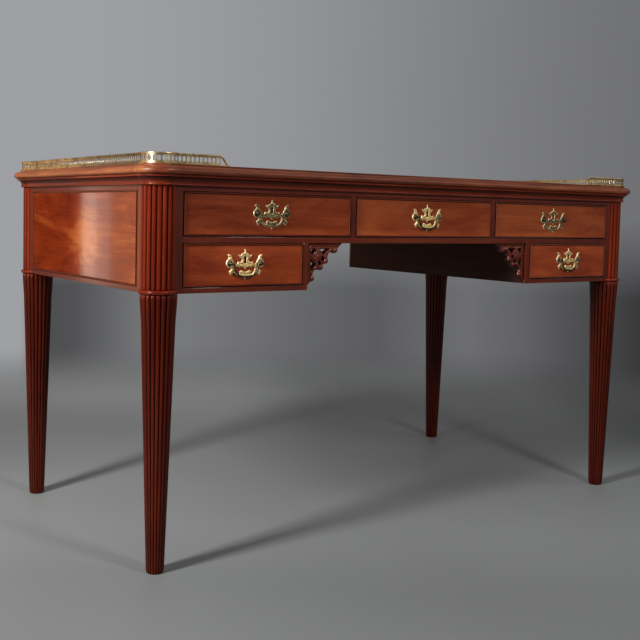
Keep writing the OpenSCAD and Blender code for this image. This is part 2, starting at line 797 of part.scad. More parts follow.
leg();  // leg_front_left
mirror([1, 0, 0]) leg();  // leg_front_right
mirror([0, 1, 0]) leg();  // leg_back_left
rotate(180) leg();  // leg_back_right
top_board();
top_edge();
cornice();
writing_leather();
gallery_foot();
gallery_pales();
gallery_cap();
on_left() end_frame();  // end_frame_left
on_right() end_frame();  // end_frame_right
end_panels();
end_beads();
back_frame();
back_panels();
back_beads();
front_frame();
partitions();
pedestal_boards();
dust_board();
pedestal_floors();
drawer_guides();
top_screws();
bracket();  // bracket_left
mirror([1, 0, 0]) bracket();  // bracket_right
drawer_front(upper_left);  // upper_left_front
drawer_bead(upper_left);  // upper_left_bead
drawer_box(upper_left);  // upper_left_box
drawer_bottom(upper_left);  // upper_left_bottom
drawer_plate(upper_left);  // upper_left_plate
drawer_lock(upper_left);  // upper_left_lock
drawer_front(upper_middle);  // upper_middle_front
drawer_bead(upper_middle);  // upper_middle_bead
drawer_box(upper_middle);  // upper_middle_box
drawer_bottom(upper_middle);  // upper_middle_bottom
drawer_plate(upper_middle);  // upper_middle_plate
drawer_lock(upper_middle);  // upper_middle_lock
drawer_bail(upper_middle);  // upper_middle_bail
drawer_front(upper_right);  // upper_right_front
drawer_bead(upper_right);  // upper_right_bead
drawer_box(upper_right);  // upper_right_box
drawer_bottom(upper_right);  // upper_right_bottom
drawer_plate(upper_right);  // upper_right_plate
drawer_lock(upper_right);  // upper_right_lock
drawer_front(lower_left);  // lower_left_front
drawer_bead(lower_left);  // lower_left_bead
drawer_box(lower_left);  // lower_left_box
drawer_bottom(lower_left);  // lower_left_bottom
drawer_plate(lower_left);  // lower_left_plate
drawer_lock(lower_left);  // lower_left_lock
drawer_bail(lower_left);  // lower_left_bail
drawer_front(lower_right);  // lower_right_front
drawer_bead(lower_right);  // lower_right_bead
drawer_box(lower_right);  // lower_right_box
drawer_bottom(lower_right);  // lower_right_bottom
drawer_plate(lower_right);  // lower_right_plate
drawer_lock(lower_right);  // lower_right_lock
drawer_bail(lower_right);  // lower_right_bail
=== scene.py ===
import math
import bmesh
import bpy
from mathutils import Matrix, Vector
from mathutils.geometry import delaunay_2d_cdt
from mathutils.kdtree import KDTree


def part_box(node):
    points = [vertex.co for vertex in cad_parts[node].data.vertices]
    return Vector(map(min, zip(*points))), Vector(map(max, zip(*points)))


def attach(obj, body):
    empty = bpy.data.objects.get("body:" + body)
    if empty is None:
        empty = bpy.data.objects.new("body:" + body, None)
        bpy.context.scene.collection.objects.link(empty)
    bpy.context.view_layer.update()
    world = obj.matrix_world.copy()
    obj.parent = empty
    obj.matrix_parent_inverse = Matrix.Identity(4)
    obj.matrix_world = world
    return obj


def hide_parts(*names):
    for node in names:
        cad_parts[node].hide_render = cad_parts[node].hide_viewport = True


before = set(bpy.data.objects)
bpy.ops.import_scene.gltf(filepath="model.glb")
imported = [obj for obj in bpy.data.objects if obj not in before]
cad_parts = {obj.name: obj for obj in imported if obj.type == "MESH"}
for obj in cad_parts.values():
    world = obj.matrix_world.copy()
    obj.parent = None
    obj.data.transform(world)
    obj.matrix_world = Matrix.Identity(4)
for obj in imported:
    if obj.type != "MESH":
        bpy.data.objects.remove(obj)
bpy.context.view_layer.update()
scene = bpy.context.scene
mm = 0.001
print("frame loaded:", len(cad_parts), "nodes")

# Camera, solved from the photograph; the table itself is built in metres
cameraView = {
    "place": (-1.4971, -2.0238, 0.6907),
    "azimuth": 34.50,
    "pitch": -3.816,
    "roll": 1.30,
    "lens": 57.01,
    "sensor": 36.0,
    "shiftX": 0.03645,
    "shiftY": -0.0624,
    "farEnd": 50,
}


def makeCamera():
    azimuth, pitch, roll = (math.radians(cameraView[k]) for k in ("azimuth", "pitch", "roll"))
    ahead = Vector((math.sin(azimuth) * math.cos(pitch), math.cos(azimuth) * math.cos(pitch),
                    math.sin(pitch)))
    side = Vector((math.cos(azimuth), -math.sin(azimuth), 0.0))
    rise = side.cross(ahead)
    right = side * math.cos(roll) + rise * math.sin(roll)
    up = rise * math.cos(roll) - side * math.sin(roll)
    data = bpy.data.cameras.new("photoCamera")
    data.sensor_fit = "HORIZONTAL"
    data.sensor_width = cameraView["sensor"]
    data.lens = cameraView["lens"]
    data.shift_x = cameraView["shiftX"]
    data.shift_y = cameraView["shiftY"]
    data.clip_end = cameraView["farEnd"]
    camera = bpy.data.objects.new("photoCamera", data)
    turn = Matrix((right, up, -ahead)).transposed().to_4x4()
    camera.matrix_world = Matrix.Translation(Vector(cameraView["place"])) @ turn
    scene.collection.objects.link(camera)
    scene.camera = camera


makeCamera()


# A node tree whose calls return the socket that the next call takes. A colour is three numbers or one.
class Net:
    def __init__(self, tree):
        self.tree = tree

    def fill(self, made, inputs):
        for key, value in inputs.items():
            if isinstance(value, bpy.types.NodeSocket):
                self.tree.links.new(value, made.inputs[key])
            else:
                made.inputs[key].default_value = value

    def node(self, kind, inputs=None, **settings):
        made = self.tree.nodes.new(kind)
        for key, value in settings.items():
            setattr(made, key, value)
        self.fill(made, inputs or {})
        return made

    def out(self, kind, inputs=None, socket=0, **settings):
        return self.node(kind, inputs, **settings).outputs[socket]

    def math(self, operation, *values):
        return self.out("ShaderNodeMath", dict(enumerate(values)), operation=operation)

    def vector(self, operation, *values):
        socket = "Value" if operation in ("DOT_PRODUCT", "LENGTH", "DISTANCE") else "Vector"
        return self.out("ShaderNodeVectorMath", dict(enumerate(values)), socket, operation=operation)

    def span(self, value, first, last, low=0.0, high=1.0, kind="LINEAR"):
        return self.out("ShaderNodeMapRange", {"Value": value, "From Min": first, "From Max": last,
                                               "To Min": low, "To Max": high}, interpolation_type=kind)

    def place(self, kind="Object"):
        return self.out("ShaderNodeTexCoord", None, kind)

    def axis(self, vector, name):
        return self.out("ShaderNodeSeparateXYZ", {0: vector}, name)

    def join(self, *parts):
        return self.out("ShaderNodeCombineXYZ", dict(enumerate(parts)))

    def attribute(self, name, socket):
        return self.out("ShaderNodeAttribute", None, socket, attribute_name=name)

    def noise(self, vector, scale, detail=3.0, rough=0.55, warp=0.0):
        placed = self.out("ShaderNodeMapping", {"Vector": vector, "Scale": scale})
        return self.out("ShaderNodeTexNoise", {"Vector": placed, "Scale": 1.0, "Detail": detail,
                                               "Roughness": rough, "Distortion": warp}, "Fac")

    def bump(self, height, strength, distance):
        return self.out("ShaderNodeBump", {"Strength": strength, "Distance": distance, "Height": height})

    def blend(self, share, first, second):
        return self.out("ShaderNodeMix", {0: share, 2: first, 3: second}, data_type="FLOAT")

    def mix(self, share, first, second, mode="MIX"):
        return self.out("ShaderNodeMix", {0: share, 6: solid(first), 7: solid(second)}, 2, data_type="RGBA",
                        blend_type=mode)

    def times(self, first, second):
        return self.mix(1.0, first, second, "MULTIPLY")

    def ramp(self, factor, stops):
        made = self.node("ShaderNodeValToRGB", {"Fac": factor})
        marks = made.color_ramp.elements
        marks.remove(marks[1])
        marks[0].position, marks[0].color = stops[0][0], solid(stops[0][1])
        for place, colour in stops[1:]:
            marks.new(place).color = solid(colour)
        return made.outputs["Color"]


def solid(colour):
    if isinstance(colour, bpy.types.NodeSocket):
        return colour
    return (*colour, 1) if isinstance(colour, tuple) else (colour, colour, colour, 1)


def newMaterial(name):
    material = bpy.data.materials.new(name)
    material.use_nodes = True
    net = Net(material.node_tree)
    net.tree.nodes.clear()
    shader = net.node("ShaderNodeBsdfPrincipled")
    net.node("ShaderNodeOutputMaterial", {0: shader.outputs[0]})
    return material, net, shader


# Polished woods. The attribute "grain" holds a place in metres with the grain along its X.
woodBase = {
    "pore": 0.62,
    "rough": 0.36,
    "figure": 0.8,
    "streak": 0.55,
    "coat": 0.50,
    "coatRough": 0.10,
    "base": 0.12,
    "cloud": (3.4, 11, 11),
    "ripple": 0.00002,
    "relief": 0.14,
}
mahoganyLook = dict(woodBase, dark=(0.058, 0.0064, 0.0024), middle=(0.125, 0.0165, 0.0055),
                    light=(0.215, 0.035, 0.0105), rough=0.42)
# the top edge's fade is painted light on its left end and painted shade along the rest
edgeLook = dict(woodBase, dark=(0.085, 0.0135, 0.0040), middle=(0.225, 0.050, 0.0150),
                light=(0.400, 0.125, 0.0380), pore=0.66, rough=0.38, figure=1.2, streak=0.5, coat=0.36,
                coatRough=0.32, base=0.16, cloud=(5.0, 26, 26), ripple=0.00003,
                fade=(-0.690, -0.668, 0.10, -0.08))
# the veneer's fade is painted shade, darker to the left, and below its height painted light makes the lower
# drawers paler
veneerLook = dict(woodBase, dark=(0.150, 0.0195, 0.0050), middle=(0.265, 0.0450, 0.0110),
                  light=(0.390, 0.0870, 0.0230), pore=0.80, figure=1.1, streak=0.30, coat=0.45, base=0.07,
                  cloud=(4.2, 17, 17), fade=(-0.66, -0.25, -0.17, 0.02), paintedLightBelow=0.660, paintedLightShare=1.50)
# the end veneer's glow is a painted pool of light on the panel
endVeneerLook = dict(woodBase, dark=(0.115, 0.0090, 0.0010), middle=(0.215, 0.0250, 0.0030),
                     light=(0.460, 0.1150, 0.0200), pore=0.78, figure=1.3, streak=0.42, coat=0.85,
                     coatRough=0.05, base=0.0, cloud=(4.2, 13, 13), ripple=0.00004, relief=0.05,
                     paintedLightPool=(-0.03, 0.625, 0.12, 0.17))
# below its height the leg wood takes painted shade, darker under the collar
legWoodLook = dict(woodBase, dark=(0.062, 0.0048, 0.0014), middle=(0.152, 0.0138, 0.0035),
                   light=(0.262, 0.0320, 0.0080), streak=0.6, coat=0.26, coatRough=0.20, base=0.05,
                   paintedLightBelow=0.54, paintedLightShare=0.40)
corniceWoodLook = dict(woodBase, dark=(0.062, 0.0067, 0.0025), middle=(0.142, 0.0180, 0.0060),
                       light=(0.240, 0.0385, 0.0118), rough=0.40, coat=0.32, coatRough=0.14, base=0.06)
beadWoodLook = dict(woodBase, dark=(0.070, 0.0085, 0.0030), middle=(0.150, 0.0230, 0.0075),
                    light=(0.240, 0.0460, 0.0140), pore=0.7, rough=0.34, coatRough=0.20, base=0.10,
                    ripple=0.0)
innerLook = dict(woodBase, dark=(0.020, 0.0055, 0.0030), middle=(0.042, 0.0110, 0.0052),
                 light=(0.070, 0.0200, 0.0090), pore=0.6, rough=0.62, figure=1.0, streak=0.6, coat=0.0,
                 coatRough=0.3, base=0.2, ripple=0.0)
secondaryLook = dict(woodBase, dark=(0.230, 0.120, 0.055), middle=(0.360, 0.210, 0.100),
                     light=(0.480, 0.300, 0.160), pore=0.7, rough=0.65, figure=1.0, streak=0.7, coat=0.0,
                     coatRough=0.5, base=0.3, ripple=0.0)


def woodMaterial(name, look, withPaintedShade=False):
    material, net, shader = newMaterial(name)
    place = net.attribute("grain", "Vector")
    bend = net.math("MULTIPLY", net.noise(place, (2.6, 9, 9), 2.0, 0.5), 0.035 * look["figure"])
    swayed = net.vector("ADD", place, net.join(0.0, bend, bend))
    bands = net.noise(swayed, (1.3, 60, 60), 5.0, 0.62, 0.3)
    clouds = net.noise(swayed, look["cloud"], 4.0, 0.6, 0.9)
    fine = net.noise(swayed, (3.5, 330, 330), 3.0, 0.6)
    tone = net.blend(look["streak"], clouds, net.blend(0.35, bands, fine))
    if "fade" in look:
        # painted light and shade: the tone's shift along the table, as (from X, to X, shift at the first,
        # shift at the second)
        tone = net.math("ADD", tone, net.span(net.axis(net.place(), "X"), *look["fade"]))
    if "paintedLightPool" in look:
        # a painted pool of light, also the figure's bright heart, as (place along, height, reach, strength)
        along, high, reach, strength = look["paintedLightPool"]
        far = net.vector("DISTANCE", net.vector("MULTIPLY", net.place(), (0, 1, 1)), (0, along, high))
        tone = net.math("ADD", tone, net.span(far, 0.0, reach, strength, -0.3 * strength, "SMOOTHSTEP"))
    colour = net.ramp(tone, [(0.30, look["dark"]), (0.49, look["middle"]), (0.68, look["light"])])
    pores = net.noise(swayed, (34, 1300, 1300), 2.0, 0.6)
    colour = net.times(colour, net.ramp(pores, [(0.36, look["pore"]), (0.50, 1.0)]))
    if "paintedLightBelow" in look:
        # painted light and shade: wood below a height is darker or paler by a share
        deep = net.span(net.axis(net.place(), "Z"), look["paintedLightBelow"] - 0.02, look["paintedLightBelow"],
                        look["paintedLightShare"], 1.0)
        colour = net.times(colour, net.join(deep, deep, deep))
    if withPaintedShade:
        # painted shade: darker where the attribute is low, in reed valleys, the cornice's hollow and the
        # carving's recesses
        colour = net.times(colour, net.ramp(net.attribute("paintedShadeAndWear", "Fac"), [(0.1, 0.22), (0.75, 1.15)]))
    waves = net.noise(place, (7, 60, 60), 2.0, 0.5)
    relief = net.math("MULTIPLY_ADD", pores, 0.25, waves)
    net.fill(shader, {
        "Base Color": colour,
        "Roughness": net.ramp(clouds, [(0.3, look["rough"] - 0.06), (0.7, look["rough"] + 0.08)]),
        "Normal": net.bump(relief, look["relief"], 0.0012),
        "Coat Weight": look["coat"], "Coat Roughness": look["coatRough"],
        "Specular IOR Level": look["base"]})
    if look["ripple"]:
        ripple = net.noise(place, (60, 300, 300), 2.0, 0.5)
        net.fill(shader, {"Coat Normal": net.bump(ripple, 1.0, look["ripple"])})
    return material


brassLook = {
    "bright": (0.92, 0.66, 0.26),
    "dull": (0.62, 0.40, 0.13),
    "rough": 0.42,
    # the rim colour is a painted highlight on the raised rims, also their rubbed brass; the grime colour is
    # painted shade with grime round the posts
    "rim": (0.98, 0.82, 0.50),
    "grimeAndShade": (0.05, 0.035, 0.018),
}
patinaBrassLook = {
    "bright": (0.24, 0.18, 0.080),
    "dull": (0.060, 0.046, 0.022),
    "rough": 0.42,
    # here too the rim colour is a painted highlight with rubbing, and the grime colour painted shade with
    # grime
    "rim": (0.86, 0.72, 0.44),
    "grimeAndShade": (0.03, 0.024, 0.016),
}
galleryBrassLook = {"bright": (0.60, 0.455, 0.240), "dull": (0.26, 0.185, 0.090), "rough": 0.30}
# the posts' and bails' brass is painted dark, standing in for the dark they reflect, and is also aged
agedBrassPaintedDarkLook = {"bright": (0.150, 0.105, 0.072), "dull": (0.024, 0.016, 0.013), "rough": 0.28}
steelLook = {"bright": (0.40, 0.38, 0.35), "dull": (0.16, 0.14, 0.12), "rough": 0.38}


def brassMaterial(name, look, scale, withPaintedLightAndWear=False):
    material, net, shader = newMaterial(name)
    place = net.place()
    stain = net.noise(place, (scale, scale, scale), 4.0, 0.6, 0.5)
    colour = net.ramp(stain, [(0.34, look["dull"]), (0.56, look["bright"])])
    if withPaintedLightAndWear:
        # painted shade with grime round the posts, and a painted highlight on the raised rims that also
        # stands for their rubbing
        paintedShadeAndWear = net.attribute("paintedShadeAndWear", "Fac")
        colour = net.mix(net.ramp(paintedShadeAndWear, [(0.0, 0.0), (0.35, 1.0)]), look["grimeAndShade"], colour)
        colour = net.mix(net.ramp(paintedShadeAndWear, [(0.45, 0.0), (0.85, 1.0)]), colour, look["rim"])
    chasing = net.noise(place, (scale * 5, scale * 5, scale * 5), 2.0, 0.5)
    net.fill(shader, {
        "Base Color": colour,
        "Roughness": net.ramp(stain, [(0.3, look["rough"] + 0.22), (0.6, look["rough"])]),
        "Normal": net.bump(chasing, 0.3, 0.0004), "Metallic": 1.0})
    return material


leatherLook = {
    "dark": (0.010, 0.030, 0.018),
    "light": (0.030, 0.075, 0.045),
    "gilt": (0.60, 0.40, 0.13),
    "lineIn": 26 * mm,
    "secondIn": 33 * mm,
    "lineHalf": 1.1 * mm,
    "pebbles": 900.0,
}


def leatherMaterial(half):
    look = leatherLook
    material, net, shader = newMaterial("tooledLeather")
    place = net.place()
    inward = net.math("MINIMUM", *(net.math("SUBTRACT", reach, net.math("ABSOLUTE", net.axis(place, name)))
                                   for name, reach in (("X", half.x), ("Y", half.y))))
    gilt = net.math("MAXIMUM", *(net.math("COMPARE", inward, look[key], look["lineHalf"])
                                 for key in ("lineIn", "secondIn")))
    clouds = net.noise(place, (5, 5, 5), 4.0, 0.6)
    pebble = net.out("ShaderNodeTexVoronoi", {"Vector": place, "Scale": look["pebbles"]}, "Distance")
    net.fill(shader, {
        "Base Color": net.mix(gilt, net.ramp(clouds, [(0.3, look["dark"]), (0.7, look["light"])]),
                              look["gilt"]),
        "Metallic": gilt, "Roughness": net.ramp(clouds, [(0.3, 0.42), (0.7, 0.56)]),
        "Normal": net.bump(pebble, 0.25, 0.0005)})
    return material


mahogany = woodMaterial("polishedMahogany", mahoganyLook)
carvedWood = woodMaterial("carvedMahogany", mahoganyLook, withPaintedShade=True)
legWood = woodMaterial("reededMahogany", legWoodLook, withPaintedShade=True)
corniceWood = woodMaterial("corniceMahogany", corniceWoodLook, withPaintedShade=True)
beadWood = woodMaterial("beadMahogany", beadWoodLook)
edgeWood = woodMaterial("paleMahogany", edgeLook)
veneer = woodMaterial("drawerVeneer", veneerLook)
endVeneer = woodMaterial("endVeneer", endVeneerLook)
innerWood = woodMaterial("unpolishedMahogany", innerLook)
secondary = woodMaterial("bareSecondaryWood", secondaryLook)
brass = brassMaterial("castBrass", brassLook, 160.0, withPaintedLightAndWear=True)
patinaBrass = brassMaterial("patinatedBrass", patinaBrassLook, 190.0, withPaintedLightAndWear=True)
lockBrass = brassMaterial("lockBrass", patinaBrassLook, 90.0)
galleryBrass = brassMaterial("galleryBrass", galleryBrassLook, 60.0)
agedBrassPaintedDark = brassMaterial("agedBrassPaintedDark", agedBrassPaintedDarkLook, 120.0)
steel = brassMaterial("screwSteel", steelLook, 200.0)
leather = leatherMaterial(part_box("writing_leather")[1])
print("materials made")


boardEase = 0.5 * mm
copyEase = 0.4 * mm
poleRadius = 0.03 * mm
mitreLimit = 0.7
flatNormal = 0.9995
mergeWithin = 0.001 * mm
copyMergeWithin = 0.002 * mm
levelAngle = math.radians(1)
edgeAngle = math.radians(30)


# Mesh helpers; every vertex carries its place along the grain, and on cast and carved work its painted shade
# and wear
def newPiece():
    made = bmesh.new()
    made.verts.layers.float_vector.new("grain")
    made.verts.layers.float.new("paintedShadeAndWear")
    return made


def grainPlace(place, along, seed):
    order = {"X": (0, 1, 2), "Y": (1, 0, 2), "Z": (2, 0, 1)}[along]
    return Vector([place[k] for k in order]) + Vector((seed * 0.731, seed * 0.377, seed * 0.519))


def smoothEased(piece):
    # eased edges and bores are shaded smooth, faces along an axis stay flat
    for face in piece.faces:
        face.smooth = max(abs(c) for c in face.normal) < flatNormal


def addBoard(target, spans, along, seed, ease=boardEase):
    # spans are the board's two ends along X, Y and Z, in any order
    spans = [sorted(span) for span in spans]
    board = newPiece()
    layer = board.verts.layers.float_vector["grain"]
    bmesh.ops.create_cube(board, size=1)
    for vert in board.verts:
        vert.co = Vector([low + (c + 0.5) * (high - low) for c, (low, high) in zip(vert.co, spans)])
    bmesh.ops.bevel(board, geom=board.edges[:], offset=ease, segments=2, profile=0.5, affect="EDGES")
    smoothEased(board)
    for vert in board.verts:
        vert[layer] = grainPlace(vert.co, along, seed)
    holder = bpy.data.meshes.new("holder")
    board.to_mesh(holder)
    board.free()
    target.from_mesh(holder)
    bpy.data.meshes.remove(holder)


def addSkin(target, rings, along="X", seed=1, grains=None):
    # closed rings of places, joined in order with a face over each end; grains may replace along and seed
    layer = target.verts.layers.float_vector["grain"]
    grains = grains or [[grainPlace(p, along, seed) for p in ring] for ring in rings]
    made = []
    for ring, marks in zip(rings, grains):
        made.append([target.verts.new(place) for place in ring])
        for vert, mark in zip(made[-1], marks):
            vert[layer] = mark
    for row, after in zip(made, made[1:]):
        for j in range(len(row)):
            k = (j + 1) % len(row)
            target.faces.new((row[j], row[k], after[k], after[j])).smooth = True
    target.faces.new(made[0][::-1])
    target.faces.new(made[-1])


def addTurned(target, centre, profile, steps, ahead=Vector((0, -1, 0)), along="X", seed=1):
    # a turned part about any axis; profile holds (radius, distance along the axis)
    side = ahead.orthogonal().normalized()
    up = ahead.cross(side)
    turns = [2 * math.pi * k / steps for k in range(steps)]
    addSkin(target, [[Vector(centre) + ahead * distance
                      + (side * math.cos(a) + up * math.sin(a)) * max(radius, poleRadius) for a in turns]
                     for radius, distance in profile], along, seed)


def finishPiece(piece, name, *rest, **more):
    bmesh.ops.remove_doubles(piece, verts=piece.verts, dist=mergeWithin)
    bmesh.ops.dissolve_degenerate(piece, edges=piece.edges, dist=mergeWithin)
    bmesh.ops.recalc_face_normals(piece, faces=piece.faces)
    placePiece(meshOf(piece, name), name, *rest, **more)


def meshOf(piece, name):
    mesh = bpy.data.meshes.new(name)
    piece.to_mesh(mesh)
    piece.free()
    return mesh


def placePiece(mesh, name, material, replaced=(), sharp=35, body="carcase", slotName="mahogany"):
    made = bpy.data.objects.new(name, mesh)
    scene.collection.objects.link(made)
    mesh.materials.clear()
    mesh.materials.append(material)
    flat = [not face.use_smooth for face in mesh.polygons]
    mesh.set_sharp_from_angle(angle=math.radians(sharp))
    for face, isFlat in zip(mesh.polygons, flat):
        face.use_smooth = not isFlat
    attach(made, body)
    if replaced:
        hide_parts(*replaced)


def islandsOf(piece):
    seen = set()
    for start in piece.verts:
        if start in seen:
            continue
        island = [start]
        seen.add(start)
        for vert in island:
            for edge in vert.link_edges:
                other = edge.other_vert(vert)
                if other not in seen:
                    seen.add(other)
                    island.append(other)
        yield island


def easedCopy(name, node, material, slotName, ease=copyEase, along=None, body="carcase"):
    # a copy of a construction piece with eased edges, each solid with the grain along its length
    piece = newPiece()
    layer = piece.verts.layers.float_vector["grain"]
    piece.from_mesh(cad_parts[node].data)
    bmesh.ops.remove_doubles(piece, verts=piece.verts, dist=copyMergeWithin)
    bmesh.ops.dissolve_limit(piece, angle_limit=levelAngle, verts=piece.verts, edges=piece.edges)
    piece.edges.ensure_lookup_table()
    keen = [e for e in piece.edges if len(e.link_faces) == 2 and e.calc_face_angle(0) > edgeAngle]
    bmesh.ops.bevel(piece, geom=keen, offset=ease, segments=2, profile=0.5, affect="EDGES",
                    clamp_overlap=True)
    smoothEased(piece)
    for number, island in enumerate(islandsOf(piece)):
        spans = [max(v.co[k] for v in island) - min(v.co[k] for v in island) for k in range(3)]
        axis = along or "XYZ"[spans.index(max(spans))]
        for vert in island:
            vert[layer] = grainPlace(vert.co, axis, len(name) + 1 + number)
    placePiece(meshOf(piece, name), name, material, [node], 35, body, slotName)


def paintNode(node, material):
    # a construction piece that shows as it is
    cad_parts[node].data.materials.clear()
    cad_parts[node].data.materials.append(material)


# Sizes read back from the frame
gap = 1 * mm
pedestalThick = 12 * mm
lipping = 5 * mm
drawers = ["upper_left", "upper_middle", "upper_right", "lower_left", "lower_right"]
withBail = ["upper_middle", "lower_left", "lower_right"]
openings = {}
for drawer in drawers:
    low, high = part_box(drawer + "_front")
    openings[drawer] = (low.x - gap, high.x + gap, low.z - gap, high.z + gap)
faceLow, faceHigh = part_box("front_frame")
faceY = -faceLow.y
boardT = faceHigh.y - faceLow.y
frameZ = faceLow.z
topZ = faceHigh.z
stileEnd = faceHigh.x
faceX = -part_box("end_frame_left")[0].x
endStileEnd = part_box("end_frame_left")[1].y
legLow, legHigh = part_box("leg_front_right")
legX = (legLow.x + legHigh.x) / 2
legY = -(legLow.y + legHigh.y) / 2
openX = openings["upper_right"][1]
lowZ0, lowZ1 = openings["lower_left"][2:]
upZ0, upZ1 = openings["upper_left"][2:]
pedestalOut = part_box("pedestal_boards")[1].x
pedestalIn = pedestalOut - pedestalThick
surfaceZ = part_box("top_edge")[1].z
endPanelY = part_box("end_beads")[1].y


# Geometry Nodes trees with named inputs, and a plain mesh out of each run
def newTree(name, sockets):
    tree = bpy.data.node_groups.new(name, "GeometryNodeTree")
    for label, kind in [("Geometry", "Geometry")] + sockets + [("Material", "Material")]:
        tree.interface.new_socket(label, in_out="INPUT", socket_type="NodeSocket" + kind)
    tree.interface.new_socket("Geometry", in_out="OUTPUT", socket_type="NodeSocketGeometry")
    net = Net(tree)
    return net, net.node("NodeGroupInput").outputs


def closeTree(net, geometry, given):
    real = net.out("GeometryNodeRealizeInstances", {"Geometry": geometry})
    net.node("NodeGroupOutput", {0: net.out("GeometryNodeSetMaterial", {
        "Geometry": real, "Material": given["Material"]})})
    return net.tree


def runTree(tree, name, points, values):
    # the tree's values go in by socket identifier; points are the (place, radius) of the line it works on
    curve = bpy.data.curves.new(name, "CURVE")
    curve.dimensions = "3D"
    spline = curve.splines.new("POLY")
    spline.points.add(len(points) - 1)
    for point, (place, radius) in zip(spline.points, points):
        point.co = (*place, 1)
        point.radius = radius
    carrier = bpy.data.objects.new(name, curve)
    scene.collection.objects.link(carrier)
    modifier = carrier.modifiers.new("nodes", "NODES")
    modifier.node_group = tree
    known = {item.name: item.identifier for item in tree.interface.items_tree if item.in_out == "INPUT"}
    for label, value in values.items():
        modifier[known[label]] = value
    bpy.context.view_layer.update()
    evaluated = carrier.evaluated_get(bpy.context.evaluated_depsgraph_get())
    mesh = bpy.data.meshes.new_from_object(evaluated)
    carrier.modifiers.remove(modifier)
    bpy.data.objects.remove(carrier)
    return mesh


# Legs: a reeded section swept up a line whose radius sets the taper, and a turned collar.
# The leg's and the post's own sizes are in mm: foot rows are (height, radius), shoulder rows
# (below the frame, radius lost) and postFoot rows (above the collar, radius lost).
legLook = {
    "reeds": 20,
    "pointsPerReed": 12,
    "reedDepth": 0.112,
    "quirk": 1.8,
    "foot": [(0, 15.0), (1.2, 16.3), (4, 17.1), (8, 17.5)],
    "taperSteps": 8,
    "neckDrop": 54,
    "neckRadius": 32.5,
    "topRadius": 35.5,
    "shoulder": [(40, 2.0), (25, 1.0), (12, 0.3), (6, 0), (3.5, 0.5), (2.2, 1.6), (1.1, 3.2)],
    "postRadius": 34.5,
    "postFoot": [(-0.4, 2.6), (0.6, 1.0), (2.5, 0)],
    "collarRadius": 39 * mm,
    "collarCore": 0.2 * mm,
    "collarRound": 3.6 * mm,
    "collarLow": 532.5 * mm,
    "collarHigh": 541 * mm,
    "collarSides": 120,
    "collarShadeAndWear": 0.7,
    "valleyGain": 1.15,
}


def reededTree():
    net, given = newTree("reededColumn", [("Reeds", "Int"), ("Points per reed", "Int"), ("Depth", "Float")])
    total = net.math("MULTIPLY", given["Reeds"], given["Points per reed"])
    ring = net.out("GeometryNodeCurvePrimitiveCircle", {"Resolution": total, "Radius": 1.0})
    share = net.math("DIVIDE", net.out("GeometryNodeInputIndex"), given["Points per reed"])
    crest = net.math("ABSOLUTE", net.math("SINE", net.math("MULTIPLY", share, math.pi)))
    valley = net.math("POWER", net.math("SUBTRACT", 1.0, crest), legLook["quirk"])
    size = net.math("SUBTRACT", 1.0, net.math("MULTIPLY", valley, given["Depth"]))
    scaled = net.out("ShaderNodeVectorMath", {0: net.out("GeometryNodeInputPosition"), "Scale": size},
                     operation="SCALE")
    shaped = net.out("GeometryNodeSetPosition", {"Geometry": ring, "Position": scaled})
    swept = net.node("GeometryNodeCurveToMesh", {"Curve": given["Geometry"], "Profile Curve": shaped,
                                                 "Fill Caps": True})
    if "Scale" in swept.inputs:
        net.fill(swept, {"Scale": net.out("GeometryNodeInputRadius")})
    return closeTree(net, swept.outputs[0], given)


def markReeds(piece, x, y):
    # painted shade, from 0 in the valleys between reeds to 1 on their crests, by distance from the axis
    layer = piece.verts.layers.float["paintedShadeAndWear"]
    far = [(vert, math.hypot(vert.co.x - x, vert.co.y - y)) for vert in piece.verts]
    rims = {}
    for vert, distance in far:
        height = round(vert.co.z, 5)
        rims[height] = max(rims.get(height, 0), distance)
    for vert, distance in far:
        inward = 1 - distance / rims[round(vert.co.z, 5)]
        vert[layer] = 1 - min(1, inward / legLook["reedDepth"] * legLook["valleyGain"])


def legLines():
    # the lines of (height, radius) up the leg and up the corner post
    look = legLook
    leg = [(height * mm, radius * mm) for height, radius in look["foot"]]
    (low, thin), neck, wide = leg[-1], frameZ - look["neckDrop"] * mm, look["neckRadius"] * mm
    for k in range(look["taperSteps"]):
        share = (k + 1) / look["taperSteps"]
        leg.append((low + share * (neck - low), thin + share * (wide - thin)))
    leg += [(frameZ - drop * mm, (look["topRadius"] - inset) * mm) for drop, inset in look["shoulder"]]
    post = [(look["collarHigh"] + rise * mm, (look["postRadius"] - inset) * mm)
            for rise, inset in look["postFoot"]]
    return leg, post + [(topZ, look["postRadius"] * mm)]


def collarProfile():
    look = legLook
    half = (look["collarHigh"] - look["collarLow"]) / 2
    profile = [(look["collarCore"], -half)]
    for angle in (math.pi * (k / 12 - 0.5) for k in range(13)):
        radius = look["collarRadius"] - look["collarRound"] * (1 - math.cos(angle))
        profile.append((radius, half * math.sin(angle)))
    return profile + [(look["collarCore"], half)]


